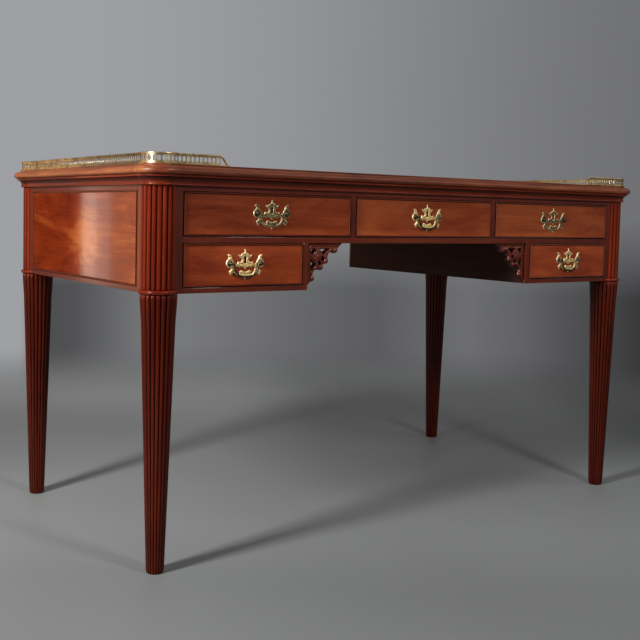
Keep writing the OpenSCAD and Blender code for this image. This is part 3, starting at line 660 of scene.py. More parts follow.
def makeLeg(node, seed):
    look = legLook
    low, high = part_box(node)
    x, y = (low.x + high.x) / 2, (low.y + high.y) / 2
    piece = newPiece()
    layer = piece.verts.layers.float_vector["grain"]
    for line in legLines():
        mesh = runTree(reeded, "legLine", [((x, y, z), r) for z, r in line], {
            "Reeds": look["reeds"], "Points per reed": look["pointsPerReed"], "Depth": look["reedDepth"],
            "Material": legWood})
        piece.from_mesh(mesh)
        bpy.data.meshes.remove(mesh)
    for vert in piece.verts:
        vert[layer] = grainPlace(vert.co, "Z", seed)
    for face in piece.faces:
        face.smooth = True
    markReeds(piece, x, y)
    count = len(piece.verts)
    middle = (look["collarHigh"] + look["collarLow"]) / 2
    addTurned(piece, (x, y, middle), collarProfile(), look["collarSides"], Vector((0, 0, 1)), "Z", seed)
    piece.verts.ensure_lookup_table()
    # the collar sits at one level on the painted shade scale
    for vert in piece.verts[count:]:
        vert[piece.verts.layers.float["paintedShadeAndWear"]] = look["collarShadeAndWear"]
    finishPiece(piece, node + "_reeded", legWood, [node], 50)


reeded = reededTree()
for number, leg in enumerate(["leg_front_left", "leg_front_right", "leg_back_left", "leg_back_right"]):
    makeLeg(leg, number + 1)
print("legs made")

# Mouldings that follow the plan: straight runs and round corners over the legs
planLook = {"cornerOut": 6 * mm, "arcSteps": 26, "joint": 0.3 * mm}


def planRing(out, inner=None):
    # places round the plan at a distance from the leg centres; inner clamps them to a rectangle
    places = []
    radius = out + planLook["cornerOut"]
    theta = math.acos(min(1.0, max(-1.0, out / radius)))
    steps = planLook["arcSteps"]
    for quadrant, (sx, sy) in enumerate(((1, 1), (-1, 1), (-1, -1), (1, -1))):
        for k in range(steps + 1):
            angle = quadrant * math.pi / 2 - theta + (math.pi / 2 + 2 * theta) * k / steps
            places.append((sx * legX + radius * math.cos(angle), sy * legY + radius * math.sin(angle)))
    if inner:
        places = [[max(-half, min(half, c)) for c, half in zip(p, inner)] for p in places]
    return [Vector((*p, 0)) for p in places]


def addPlanMoulding(target, section, seed, inner=None):
    # section holds (out, height), and inner clamps its two ends; joints lie where ends meet corners
    ends = (0, len(section) - 1)
    rings = [[Vector((p.x, p.y, height)) for p in planRing(out, inner if k in ends else None)]
             for k, (out, height) in enumerate(section)]
    steps = planLook["arcSteps"] + 1
    runs = [(0, 2 * steps - 1, "X"), (2 * steps - 1, 2 * steps, "Y"),
            (2 * steps, 4 * steps - 1, "X"), (4 * steps - 1, 4 * steps, "Y")]

    def pulled(column, towards):
        return [p + (q - p).normalized() * planLook["joint"] for p, q in zip(column, towards)]

    for number, (first, last, along) in enumerate(runs):
        columns = [[ring[k % len(ring)] for ring in rings] for k in range(first, last + 1)]
        ringSize = len(rings)
        firstCentre = sum(columns[0], Vector()) / ringSize
        drawn = pulled(columns[0], [firstCentre] * ringSize)
        columns = [drawn, pulled(columns[0], columns[1])] + columns[1:]
        lastCentre = sum(columns[-1], Vector()) / ringSize
        drawn = pulled(columns[-1], [lastCentre] * ringSize)
        columns = columns[:-1] + [pulled(columns[-1], columns[-2]), drawn]
        addSkin(target, columns, along, seed + number)


# The top's edge from its underside up; under rows are (mm in, mm up) before the nose
topLook = {
    "out": 50 * mm,
    "run": 14 * mm,
    "foot": 6.6 * mm,
    "thick": surfaceZ - topZ,
    "fillet": 3.6 * mm,
    "seat": 6 * mm,
    "quirk": 0.9 * mm,
    "ease": 0.6 * mm,
    "under": [(5.4, 0), (4.4, 0.5), (2.6, 1.2), (1.0, 2.3), (0.2, 3.9), (0, 5.6)],
    "noseTurn": 7.8,
    "noseSteps": 11,
}
# The cornice from its foot up: a bead, a cove and a fillet
corniceLook = {
    "foot": 33.5 * mm,
    "out": 43 * mm,
    "height": 20 * mm,
    "inner": 26 * mm,
    "beadIn": 0.4 * mm,
    "beadWide": 1.4 * mm,
    "beadHalf": 1.9 * mm,
    "coveFrom": 4.4 * mm,
    "coveHigh": 11.6 * mm,
    "filletIn": 0.7 * mm,
    "under": 0.2 * mm,
    "seat": 1 * mm,
    "arrisIn": 0.8 * mm,
    "arrisDown": 1 * mm,
    "hollow": (5 * mm, 10 * mm, 15.8 * mm),  # heights where the shade starts, is full and ends
    "shadeLevels": (0.75, 0.25, 0.85),  # of the bead, the hollow and the fillet
}


def topSection():
    look = topLook
    out, crown = look["out"], topZ + look["thick"]
    fillet, foot = crown - look["fillet"], topZ + look["foot"]
    section = [(out - look["seat"], topZ)]
    section += [(out - inset * mm, topZ + up * mm) for inset, up in look["under"]]
    for angle in (math.radians(look["noseTurn"] * (k + 1)) for k in range(look["noseSteps"])):
        section.append((out - look["run"] * (1 - math.cos(angle)),
                        foot + (fillet - foot) * math.sin(angle)))
    step, ease = out - look["run"] - look["quirk"], look["ease"]
    return section + [(step + ease / 2, fillet), (step, fillet + ease / 2), (step, crown - ease),
                      (step - ease, crown), (out - look["seat"], crown)]


def corniceSection():
    look = corniceLook
    base, high = topZ - look["height"], topZ - look["under"]
    foot, out = look["foot"] - look["beadIn"], look["out"]
    cove, fillet = base + look["coveFrom"], out - look["filletIn"]
    section = [(look["inner"], base + look["seat"]), (look["foot"] - look["seat"], base)]
    for angle in (math.radians(30 * k - 90) for k in range(7)):
        section.append((foot + look["beadWide"] * math.cos(angle),
                        base + look["beadHalf"] * (1 + math.sin(angle))))
    section.append((foot, cove))
    for angle in (math.radians(10 * k) for k in range(1, 10)):
        section.append((fillet - (fillet - foot) * math.cos(angle),
                        cove + look["coveHigh"] * math.sin(angle)))
    return section + [(out, cove + look["coveHigh"]), (out, topZ - look["arrisDown"]),
                      (out - look["arrisIn"], high), (look["inner"], high)]


def shadeHollow(target):
    # painted shade: the hollow of the cornice is darker than the bead below and the fillet above it, under
    # the top's overhang
    look = corniceLook
    layer = target.verts.layers.float["paintedShadeAndWear"]
    low, full, high = look["hollow"]
    bead, cove, fillet = look["shadeLevels"]
    for vert in target.verts:
        rise = vert.co.z - topZ + look["height"]
        share = min(1, max(0, (rise - low) / (full - low)))
        vert[layer] = bead + (cove - bead) * share if rise < high else fillet


piece = newPiece()
addPlanMoulding(piece, topSection(), 11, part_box("writing_leather")[1][:2])
finishPiece(piece, "top_edge_moulding", edgeWood, ["top_edge"], 30)
piece = newPiece()
addPlanMoulding(piece, corniceSection(), 17)
shadeHollow(piece)
finishPiece(piece, "cornice_moulding", corniceWood, ["cornice"], 30)
print("mouldings made")


# Frames of rails and stiles; rows are (ends across, ends in height, grain, seed to add)
def makeFrame(node, sign, seed, face, rows):
    thick = (sign * face, sign * (face - boardT))
    piece = newPiece()
    for across, height, along, extra in rows:
        spans = (thick, across, height) if face == faceX else (across, thick, height)
        addBoard(piece, spans, along, seed + extra)
    finishPiece(piece, node + "_boards", mahogany, [node])


longRows = [((-openX, openX), (upZ1, topZ), "X", 0), ((-openX, openX), (lowZ1, upZ0), "X", 1)]
endRows = [((-endPanelY, endPanelY), (frameZ, lowZ0), "Y", 0),
           ((-endPanelY, endPanelY), (upZ1, topZ), "Y", 1)]
for side in (-1, 1):
    longRows += [((side * pedestalOut, side * openX), (frameZ, lowZ0), "X", 2 + side),
                 ((side * openX, side * stileEnd), (frameZ, topZ), "Z", 5 + side)]
    endRows.append(((side * endPanelY, side * endStileEnd), (frameZ, topZ), "Z", 3 + side))
for node, sign in (("front_frame", -1), ("back_frame", 1)):
    makeFrame(node, sign, 20 + sign, faceY, longRows)
for node, sign in (("end_frame_left", -1), ("end_frame_right", 1)):
    makeFrame(node, sign, 40 + 10 * sign, faceX, endRows)

beadLook = {
    "width": 4 * mm,
    "proud": 2.0 * mm,
    "deep": 6 * mm,
    "shoulder": 0.5 * mm,
    "gaps": (1.5 * mm, 1.1 * mm, 0.1 * mm),
    "quirks": (0.4 * mm, 0.6 * mm, 1.5 * mm),
    "quirkTop": 0.6 * mm,
    "quirkDeep": 2.6 * mm,
}


def addBead(target, corners, place, seed):
    # corners are (a0, a1, b0, b1) in the plane; place turns (a, b, depth) into a place.
    # gaps and quirks are those at the sides, below and above
    a0, a1, b0, b1 = corners
    look = beadLook
    # each section point is (share across the bead, depth); above 1 lies the far wall of the quirk
    section = [(0, look["deep"]), (0, look["shoulder"])]
    section += [(0.5 - 0.5 * math.cos(math.pi * k / 10), -look["proud"] * math.sin(math.pi * k / 10))
                for k in range(11)]
    section += [(1, look["quirkTop"]), (1, look["quirkDeep"]), (2, look["quirkDeep"]), (2, look["deep"])]
    rows = []
    for share, depth in section:
        aside, below, above = (look["width"] if share > 1 else wide + share * (look["width"] - wide - quirk)
                               for wide, quirk in zip(look["gaps"], look["quirks"]))
        rows.append([(a0 + aside, b0 + below, depth), (a1 - aside, b0 + below, depth),
                     (a1 - aside, b1 - above, depth), (a0 + aside, b1 - above, depth)])
    for side in range(4):
        run, cross = (0, 1) if side % 2 == 0 else (1, 0)
        ends = [[row[end] for row in rows] for end in (side, (side + 1) % 4)]
        addSkin(target, [[place(*p) for p in points] for points in ends], grains=[
            [Vector((p[run] + seed * 0.3, p[2] + seed * 0.11, p[cross] + side * 0.21)) for p in points]
            for points in ends])


def onLong(sign):
    # (across, up, depth) on the front, -1, or the back, 1, into a place on the table
    return lambda a, b, depth: Vector((-sign * a, sign * (faceY - depth), b))


def onEnd(sign):
    # the same on the left end, -1, or the right, 1
    return lambda a, b, depth: Vector((sign * (faceX - depth), sign * a, b))


endOpening = (-endPanelY, endPanelY, lowZ0, upZ1)
for name, node, rows in (
        ("end_bead_mouldings", "end_beads", [(endOpening, onEnd(-1), 3), (endOpening, onEnd(1), 4)]),
        ("back_bead_mouldings", "back_beads",
         [(openings[drawer], onLong(1), 5 + number) for number, drawer in enumerate(drawers)])):
    piece = newPiece()
    for row in rows:
        addBead(piece, *row)
    finishPiece(piece, name, beadWood, [node], 40)

easedCopy("end_panels_veneered", "end_panels", endVeneer, "veneer", along="Y")
easedCopy("back_panels_veneered", "back_panels", veneer, "veneer", along="X")
easedCopy("partition_boards", "partitions", mahogany, "mahogany")


def makePedestalBoards():
    boards, edges = newPiece(), newPiece()
    for side in (-1, 1):
        across, height = (side * pedestalIn, side * pedestalOut), (frameZ, lowZ1)
        addBoard(boards, (across, (lipping - faceY, faceY - lipping), height), "Y", 70 + side,
                 ease=0.2 * mm)
        for end in ((-faceY, lipping - faceY), (faceY - lipping, faceY)):
            addBoard(edges, (across, end, height), "Z", 74 + side)
    finishPiece(boards, "pedestal_side_boards", innerWood, ["pedestal_boards"])
    finishPiece(edges, "pedestal_lippings", mahogany)


makePedestalBoards()
easedCopy("dust_board_eased", "dust_board", innerWood, "secondary_wood")
easedCopy("pedestal_floors_eased", "pedestal_floors", secondary, "secondary_wood")
easedCopy("drawer_strips", "drawer_guides", secondary, "secondary_wood", ease=0.8 * mm)
easedCopy("top_board_eased", "top_board", secondary, "secondary_wood")
paintNode("writing_leather", leather)
paintNode("top_screws", steel)
print("carcase made")


tipPull = 0.3


# Smooth outlines through (across, up) points in mm; a third value marks a sharp tip
def curveSteps(p0, p1, p2, p3, step):
    # places from p1 towards p2 on the curve that also heeds their neighbours
    steps = max(2, int((p2 - p1).length / step))
    return [0.5 * (2 * p1 + (p2 - p0) * t + (2 * p0 - 5 * p1 + 4 * p2 - p3) * t * t
                   + (3 * p1 - p0 - 3 * p2 + p3) * t * t * t) for t in (k / steps for k in range(steps))]


def smoothLoop(points, step):
    count = len(points)
    places = []
    for i in range(count):
        p0, p1, p2, p3 = (Vector(points[(i + k) % count][:2]) for k in (-1, 0, 1, 2))
        if len(points[i]) > 2:
            p0 = p1 - (p2 - p1) * tipPull
        if len(points[(i + 1) % count]) > 2:
            p3 = p2 + (p2 - p1) * tipPull
        places += curveSteps(p0, p1, p2, p3, step)
    return places


def smoothLine(points, step):
    places = []
    last = len(points) - 1
    for i in range(last):
        places += curveSteps(*(Vector(points[min(last, max(0, i + k))][:2]) for k in (-1, 0, 1, 2)), step)
    return places + [Vector(points[-1][:2])]


def insideLoop(place, loop):
    x, y = place
    inside = False
    for previous, current in zip(loop[-1:] + loop[:-1], loop):
        if (current.y > y) != (previous.y > y):
            if x < (previous.x - current.x) * (y - current.y) / (previous.y - current.y) + current.x:
                inside = not inside
    return inside


def treeOf(places):
    tree = KDTree(len(places))
    for number, place in enumerate(places):
        tree.insert((place[0], place[1], 0), number)
    tree.balance()
    return tree


def densely(loop, step, closed=True):
    places = []
    for number in range(len(loop) if closed else len(loop) - 1):
        p, q = loop[number], loop[(number + 1) % len(loop)]
        steps = max(1, int((q - p).length / step))
        places += [p + (q - p) * (k / steps) for k in range(steps)]
    return places


# the relief's back takes a low level of the painted shade
reliefGrid = {"rowShare": 0.866, "rimStep": 0.2, "rimClear": 0.55, "ridgeStep": 0.5, "backShadeAndWear": 0.2}


def reliefShape(outline, holes, ridges, look, shadeAndWearAt):
    # a carved or cast plate: its front rises from the rims, and each ridge is (line, half width, rise)
    loops = [outline] + holes
    fine = reliefGrid["rimStep"]
    rims = treeOf([p for loop in loops for p in densely(loop, fine)])
    marks = [(treeOf(densely(line, fine, False)), half, rise) for line, half, rise in ridges]
    pitch, rowPitch = look["pitch"], look["pitch"] * reliefGrid["rowShare"]
    flat = [tuple(p) for loop in loops for p in loop]
    edges = []
    start = 0
    for loop in loops:
        edges += [(start + k, start + (k + 1) % len(loop)) for k in range(len(loop))]
        start += len(loop)
    lows, highs = ([pick(p[k] for p in outline) for k in (0, 1)] for pick in (min, max))

    def inShape(place):
        return insideLoop(place, outline) and not any(insideLoop(place, hole) for hole in holes)

    inner = []
    for row in range(int((highs[1] - lows[1]) / rowPitch) + 1):
        for column in range(int((highs[0] - lows[0]) / pitch) + 2):
            place = (lows[0] + (column + 0.5 * (row % 2)) * pitch, lows[1] + row * rowPitch)
            if inShape(place) and rims.find((*place, 0))[2] > pitch * reliefGrid["rimClear"]:
                inner.append(place)

    def triangles(points):
        found = delaunay_2d_cdt([Vector(p) for p in points], edges, [], 1, 1e-5)
        middles = ((sum((found[0][k] for k in face), Vector((0, 0))) / 3, face) for face in found[2])
        return found[0], [face for middle, face in middles if inShape(middle)]

    def rise(place):
        # height of the front and its painted shade and wear, from 0 in shaded hollows to 1 on lit and rubbed
        # rims
        spot = (place[0], place[1], 0)
        off = rims.find(spot)[2]
        share = min(1.0, off / look["round"])
        height = look["rim"] + (look["thick"] - look["rim"]) * math.sqrt(1 - (1 - share) ** 2)
        extra = 0.0
        for tree, half, lift in marks:
            near = tree.find(spot)[2]
            if near < half:
                bulge = lift * math.sqrt(1 - (near / half) ** 2)
                extra = bulge if abs(bulge) > abs(extra) else extra
        height += extra * share
        return height, shadeAndWearAt(place, off, height)

    front, frontFaces = triangles(flat + inner)
    back, backFaces = triangles(flat)
    lifted = [rise(p) for p in front]
    return {"front": [(p[0], p[1], h) for p, (h, w) in zip(front, lifted)],
            "paintedShadeAndWear": [w for h, w in lifted], "frontFaces": frontFaces,
            "back": [(p[0], p[1], 0.0) for p in back], "backFaces": backFaces, "loops": loops}


def addRelief(target, shape, place, seed=1):
    # place turns (across, up, rise) in mm into a place on the table
    layer = target.verts.layers.float_vector["grain"]
    shadeLayer = target.verts.layers.float["paintedShadeAndWear"]

    def put(spot, paintedShadeAndWear):
        vert = target.verts.new(place(*spot))
        vert[layer] = grainPlace(vert.co, "X", seed)
        vert[shadeLayer] = paintedShadeAndWear
        return vert

    front = [put(p, w) for p, w in zip(shape["front"], shape["paintedShadeAndWear"])]
    back = [put(p, reliefGrid["backShadeAndWear"]) for p in shape["back"]]
    for face in shape["frontFaces"]:
        target.faces.new([front[k] for k in face]).smooth = True
    for face in shape["backFaces"]:
        target.faces.new([back[k] for k in reversed(face)])
    frontAt, backAt = ({(round(p[0], 3), round(p[1], 3)): v for p, v in zip(shape[key], made)}
                       for key, made in (("front", front), ("back", back)))
    for loop in shape["loops"]:
        keys = [(round(p.x, 3), round(p.y, 3)) for p in loop]
        for first, second in zip(keys, keys[1:] + keys[:1]):
            if first != second:
                target.faces.new((frontAt[first], backAt[first], backAt[second], frontAt[second]))


def mirroredLoop(half):
    # whole outline from its right half, which starts and ends on the middle line
    return half + [(-p[0], *p[1:]) for p in reversed(half[1:-1])]


# Handles: a cast openwork plate with a raised rim, two posts, and on three drawers a swinging bail.
# Sizes are in mm but for those with a unit; each vein is (line, half width, rise).
plateLook = {
    "pitch": 0.7,
    "round": 1.1,
    "rim": 0.8,
    "thick": 1.8,
    "step": 0.65,
    "rimWide": 1.5,
    "standOff": 0.02 * mm,
    "hollowShadeAndWear": 0.35,
    "postShadeRing": (5.0, 6.6),  # painted shade and grime round a post fade out between these distances from it
    "outline": [(0, 28.0), (1.7, 26.8), (2.0, 25.0), (1.2, 23.4), (1.6, 22.0), (4.6, 20.8), (8.0, 19.2),
                (9.8, 16.6), (12.2, 16.4), (15.2, 18.2, 1), (14.6, 14.8), (12.6, 12.0), (9.8, 10.8),
                (7.8, 8.8), (7.6, 6.2), (9.8, 3.9), (12.8, 2.4), (14.6, 2.6), (16.8, 4.4, 1), (17.8, 1.6),
                (18.8, -0.6), (21.6, 0.0), (24.6, 2.2), (26.6, 5.0), (25.6, 7.2), (28.0, 7.6), (29.6, 10.0),
                (30.4, 13.2), (32.0, 16.0), (34.6, 18.0), (37.4, 18.4), (39.4, 17.0), (39.2, 14.6),
                (37.4, 13.2), (37.6, 10.6), (40.2, 7.6), (42.8, 3.4), (43.2, -0.6), (41.8, -4.4),
                (38.8, -7.0), (35.0, -8.0), (31.6, -8.2), (31.2, -10.4), (33.6, -12.2), (35.8, -14.2),
                (36.2, -17.0), (34.6, -19.4), (33.4, -22.6, 1), (30.4, -21.2), (28.2, -18.6), (26.2, -17.4),
                (23.8, -18.2), (21.6, -20.6), (17.8, -23.2), (13.0, -24.8), (7.6, -25.6), (3.4, -26.2),
                (1.9, -27.6), (1.3, -29.4), (0, -31.3, 1)],
    "pierced": [(0, -11.6, 1), (3.4, -8.4), (6.4, -6.8), (9.8, -6.2), (13.6, -7.2), (17.2, -5.4),
                (20.6, -6.0), (22.2, -9.0), (21.2, -12.8), (18.8, -16.4), (15.4, -19.2), (12.4, -19.6),
                (13.0, -16.8), (12.0, -14.0), (9.2, -12.8), (6.2, -13.8), (4.0, -15.2), (0, -15.6)],
    "keyhole": [(0, 14.2), (2.1, 13.4), (3.0, 11), (2.6, 8.9), (2.2, 7.4), (2.6, 0.4, 1), (0, 0.0)],
    "veins": [([(0, 23.6), (0, 17.2)], 0.9, 0.5), ([(0, 0.6), (0, -9.6)], 1.6, 0.5),
              ([(3.6, 18.6), (8.6, 17.2), (13.6, 17.2)], 1.0, 0.5),
              ([(5.0, 15.6), (5.2, 10.6), (4.8, 5.2), (8.6, 1.4), (14.6, 0.6), (17.0, -2.2)], 1.1, 0.55),
              ([(4.0, -5.4), (9.8, -3.4), (15.6, -3.0)], 1.0, 0.4),
              ([(19.6, -1.2), (24.2, 0.4), (28.2, 6.6), (32.0, 11.0), (34.2, 14.8), (37.6, 16.4)], 1.3, 0.8),
              ([(31.0, 9.4), (34.4, 9.4), (37.4, 7.8), (40.6, 2.6), (40.4, -2.6), (36.8, -5.8),
                (32.2, -6.0), (28.8, -3.8)], 1.2, 0.9),
              ([(24.8, -3.6), (25.6, -9.6), (23.0, -16.0), (18.0, -20.8), (11.0, -22.6), (0, -23.4)],
               1.2, 0.7),
              ([(27.2, -11.4), (31.2, -13.8), (33.2, -17.8), (33.0, -21.4)], 1.1, 0.7),
              ([(5.4, -17.2), (7.4, -15.6), (9.6, -15.4), (10.6, -17.2), (9.6, -19.6)], 0.9, 0.6),
              ([(0, -17.6), (0, -21.8)], 1.3, 0.6), ([(3.4, -17.6), (4.4, -21.4)], 0.9, 0.5)],
}
# Rose, shank and nut rows are (radius, distance ahead of the drawer's face) in mm
postLook = {
    "gap": 35 * mm,
    "up": 3 * mm,
    "out": 6.6,
    "ball": 3.7,
    "sides": (28, 16, 6),
    "rose": [(0, 1.5), (4.3, 1.5), (4.6, 2.0), (4.2, 2.7), (3.0, 3.0), (2.5, 3.4)],
    "shank": [(0, -25), (2.0, -25), (2.5, -24.5), (2.5, 2), (0, 2)],
    "nut": [(2.5, -24), (5.2, -24), (6, -23.2), (6, -20.1), (2.5, -20.1)],
}
bailLook = {
    "route": [(29.4, 0), (28.0, -0.6), (27.4, -3.0), (26.4, -8.6), (24.6, -13.6), (21.6, -18.6),
              (17.2, -22.4), (11.8, -24.2), (6.0, -24.7), (0, -24.8)],
    "thin": 1.85,
    "thick": 2.35,
    "taperEnd": 26,
    "around": 14,
    "step": 1.2,
    "pinAt": 27.2,
    "pin": [(0, 0), (1.4, 0.1), (1.75, 0.6), (1.75, 8.0), (1.4, 8.3), (0, 8.3)],
}


def plateShape():
    look = plateLook
    outline, pierced, keyhole = (smoothLoop(mirroredLoop(look[key]), look["step"])
                                 for key in ("outline", "pierced", "keyhole"))
    ridges = []
    for line, half, rise in look["veins"]:
        for side in ((1, -1) if max(abs(p[0]) for p in line) > 0 else (1,)):
            points = [(side * u, v) for u, v in line]
            ridges.append((smoothLine(points, reliefGrid["ridgeStep"]), half, rise))
    posts = [Vector((side * postLook["gap"] / mm, 0)) for side in (-1, 1)]

    # a painted highlight on the raised rims, also their rubbing, and painted shade with grime round each
    # post
    def shadeAndWearAt(place, off, height):
        half = look["rimWide"] * 0.5
        rubbedAndLit = 1 - min(1, max(0, (off - half) / half))
        near = min((Vector(place) - post).length for post in posts)
        first, last = look["postShadeRing"]
        outOfPostShade = min(1, max(0, (near - first) / (last - first)))
        return (look["hollowShadeAndWear"] + (1 - look["hollowShadeAndWear"]) * rubbedAndLit) * outOfPostShade

    return reliefShape(outline, [pierced, keyhole], ridges, look, shadeAndWearAt)


castPlate = plateShape()
print("cast plate:", len(castPlate["front"]), "points")


def handleCentre(drawer):
    a0, a1, b0, b1 = openings[drawer]
    return Vector(((a0 + a1) / 2, -faceY, (b0 + b1) / 2 + postLook["up"]))


def inMetres(rows):
    return [(radius * mm, distance * mm) for radius, distance in rows]


def makePlate(drawer):
    centre = handleCentre(drawer)
    look = postLook
    piece = newPiece()
    addRelief(piece, castPlate, lambda u, v, h: centre + Vector((
        u * mm, -h * mm - plateLook["standOff"], v * mm)))
    finishPiece(piece, drawer + "_cast_plate", brass if drawer in withBail else patinaBrass,
                [drawer + "_plate"], 55, drawer + "_drawer", "brass")
    ball = [(look["ball"] * math.cos(a), look["out"] + look["ball"] * math.sin(a))
            for a in (math.pi * (k / 12 - 0.5) for k in range(3, 13))]
    piece = newPiece()
    for side in (-1, 1):
        foot = centre + Vector((side * look["gap"], 0, 0))
        for rows, sides in zip((look["rose"] + ball, look["shank"], look["nut"]), look["sides"]):
            addTurned(piece, foot, inMetres(rows), sides)
    finishPiece(piece, drawer + "_posts", agedBrassPaintedDark, (), 40, drawer + "_drawer", "brass")


def makeBail(drawer):
    look = bailLook
    centre = handleCentre(drawer) + Vector((0, -postLook["out"] * mm, 0))
    half = smoothLine(look["route"], look["step"])
    route = half + [Vector((-p.x, p.y)) for p in reversed(half[:-1])]
    turns = [2 * math.pi * k / look["around"] for k in range(look["around"])]
    rings = []
    for number, place in enumerate(route):
        tangent = (route[min(len(route) - 1, number + 1)] - route[max(0, number - 1)]).normalized()
        side = Vector((tangent.y, 0, -tangent.x))
        share = 1 - min(1, abs(place.x) / look["taperEnd"])
        radius = (look["thin"] + (look["thick"] - look["thin"]) * share ** 0.5) * mm
        middle = centre + Vector((place.x, 0, place.y)) * mm
        rings.append([middle + (side * math.cos(a) + Vector((0, 1, 0)) * math.sin(a)) * radius
                      for a in turns])
    piece = newPiece()
    addSkin(piece, rings)
    for side in (-1, 1):
        addTurned(piece, centre + Vector((side * look["pinAt"] * mm, 0, 0)), inMetres(look["pin"]),
                  look["around"], Vector((side, 0, 0)))
    finishPiece(piece, drawer + "_swinging_bail", agedBrassPaintedDark, [drawer + "_bail"], 50, drawer + "_handle",
                "brass")


# Drawers; pins of the front's wood make the lapped dovetails at its ends
pinLook = {
    "pins": 3,
    "tip": 1.4 * mm,
    "root": 3.6 * mm,
    "proud": 0.06 * mm,
    "sunk": 0.6 * mm,
    "tongue": 1 * mm,
    "tipGap": 0.2 * mm,
}


def makePins(drawer, seed):
    look = pinLook
    low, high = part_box(drawer + "_front")
    tongue = [v.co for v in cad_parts[drawer + "_box"].data.vertices
              if v.co.y < high.y - look["tongue"]]
    tipY = min(p.y for p in tongue) + look["tipGap"]
    z0, z1 = min(p.z for p in tongue), max(p.z for p in tongue)
    piece = newPiece()
    for sign, x in ((-1, low.x), (1, high.x)):
        for k in range(look["pins"]):
            z = z0 + (z1 - z0) * (k + 1) / (look["pins"] + 1)
            corners = [(tipY, z - look["tip"]), (high.y, z - look["root"]), (high.y, z + look["root"]),
                       (tipY, z + look["tip"])]
            addSkin(piece, [[Vector((x + sign * out, *corner)) for corner in corners]
                            for out in (look["proud"], -look["sunk"])], "X", seed)
    finishPiece(piece, drawer + "_dovetail_pins", innerWood, body=drawer + "_drawer")


for drawer in drawers:
    body = drawer + "_drawer"
    easedCopy(drawer + "_front_veneered", drawer + "_front", veneer, "veneer", along="X", body=body)
    easedCopy(drawer + "_sides_and_back", drawer + "_box", secondary, "secondary_wood", ease=1 * mm,
              body=body)
    easedCopy(drawer + "_bottom_board", drawer + "_bottom", secondary, "secondary_wood", body=body)
    a0, a1, b0, b1 = openings[drawer]
    piece = newPiece()
    addBead(piece, (a0 + gap, a1 - gap, b0 + gap, b1 - gap), onLong(-1), 9)
    finishPiece(piece, drawer + "_cock_bead", beadWood, [drawer + "_bead"], 40, body)
    paintNode(drawer + "_lock", lockBrass)
    makePins(drawer, 90)
    makePlate(drawer)
for drawer in withBail:
    makeBail(drawer)
print("drawers and handles made")

# Carved openwork brackets; places are shares of the arm, across from the corner and down from it,
# and other sizes are in mm. Each ridge is (line, half width, rise), and each ball ends in its radius.
bracketLook = {
    "arm": 91.0,
    "pitch": 1.0,
    "round": 3.2,
    "rim": 7.6,
    "thick": 11.4,
    "step": 0.9,
    "outline": [(1.0, 0, 1), (0.985, 0.022), (0.955, 0.045), (0.925, 0.075), (0.885, 0.108, 1),
                (0.868, 0.150), (0.862, 0.185), (0.838, 0.218), (0.796, 0.232), (0.752, 0.220),
                (0.724, 0.196), (0.690, 0.190), (0.652, 0.204), (0.622, 0.236), (0.602, 0.276),
                (0.594, 0.318), (0.600, 0.352), (0.612, 0.392), (0.604, 0.436), (0.570, 0.466),
                (0.534, 0.468), (0.500, 0.474, 1), (0.487, 0.487, 1)],
    "corner": [(0.140, 0.140, 1), (0.235, 0.145), (0.212, 0.178), (0.195, 0.195, 1)],
    "wedge": [(0.370, 0.138, 1), (0.470, 0.134), (0.600, 0.138, 1), (0.550, 0.164), (0.502, 0.206),
              (0.476, 0.242), (0.452, 0.232), (0.440, 0.196), (0.412, 0.164)],
    "slit": [(0.412, 0.336), (0.450, 0.312), (0.476, 0.326), (0.478, 0.366), (0.462, 0.400),
             (0.436, 0.378)],
    "ridges": [([(0.86, 0.112), (0.70, 0.118), (0.13, 0.118), (0.118, 0.118)], 1.6, 0.9),
               ([(0.795, 0.165), (0.74, 0.150), (0.66, 0.158), (0.59, 0.196), (0.545, 0.258),
                 (0.530, 0.330), (0.545, 0.405)], 4.2, 2.0),
               ([(0.30, 0.30), (0.345, 0.225), (0.350, 0.165)], 3.0, 1.8),
               ([(0.30, 0.30), (0.400, 0.275)], 3.0, 2.0),
               ([(0.335, 0.335), (0.265, 0.230), (0.225, 0.225)], 2.6, 1.6),
               ([(0.16, 0.30), (0.21, 0.345), (0.26, 0.335)], 2.4, 1.5)],
    "balls": [(0.796, 0.165, 6.0), (0.545, 0.405, 5.4)],
    "flower": (0.300, 0.300, 8.0),
    "petals": 6,
    # each is (half width, rise), and what is cut in has a negative rise
    "petal": (2.6, 2.4),
    "petalCut": (0.5, -0.8),
    "heart": (3.0, 3.3),
    "curlCut": (0.7, -0.9),
    "ballRise": 3.2,
    "unshadedRise": 1.6,
}


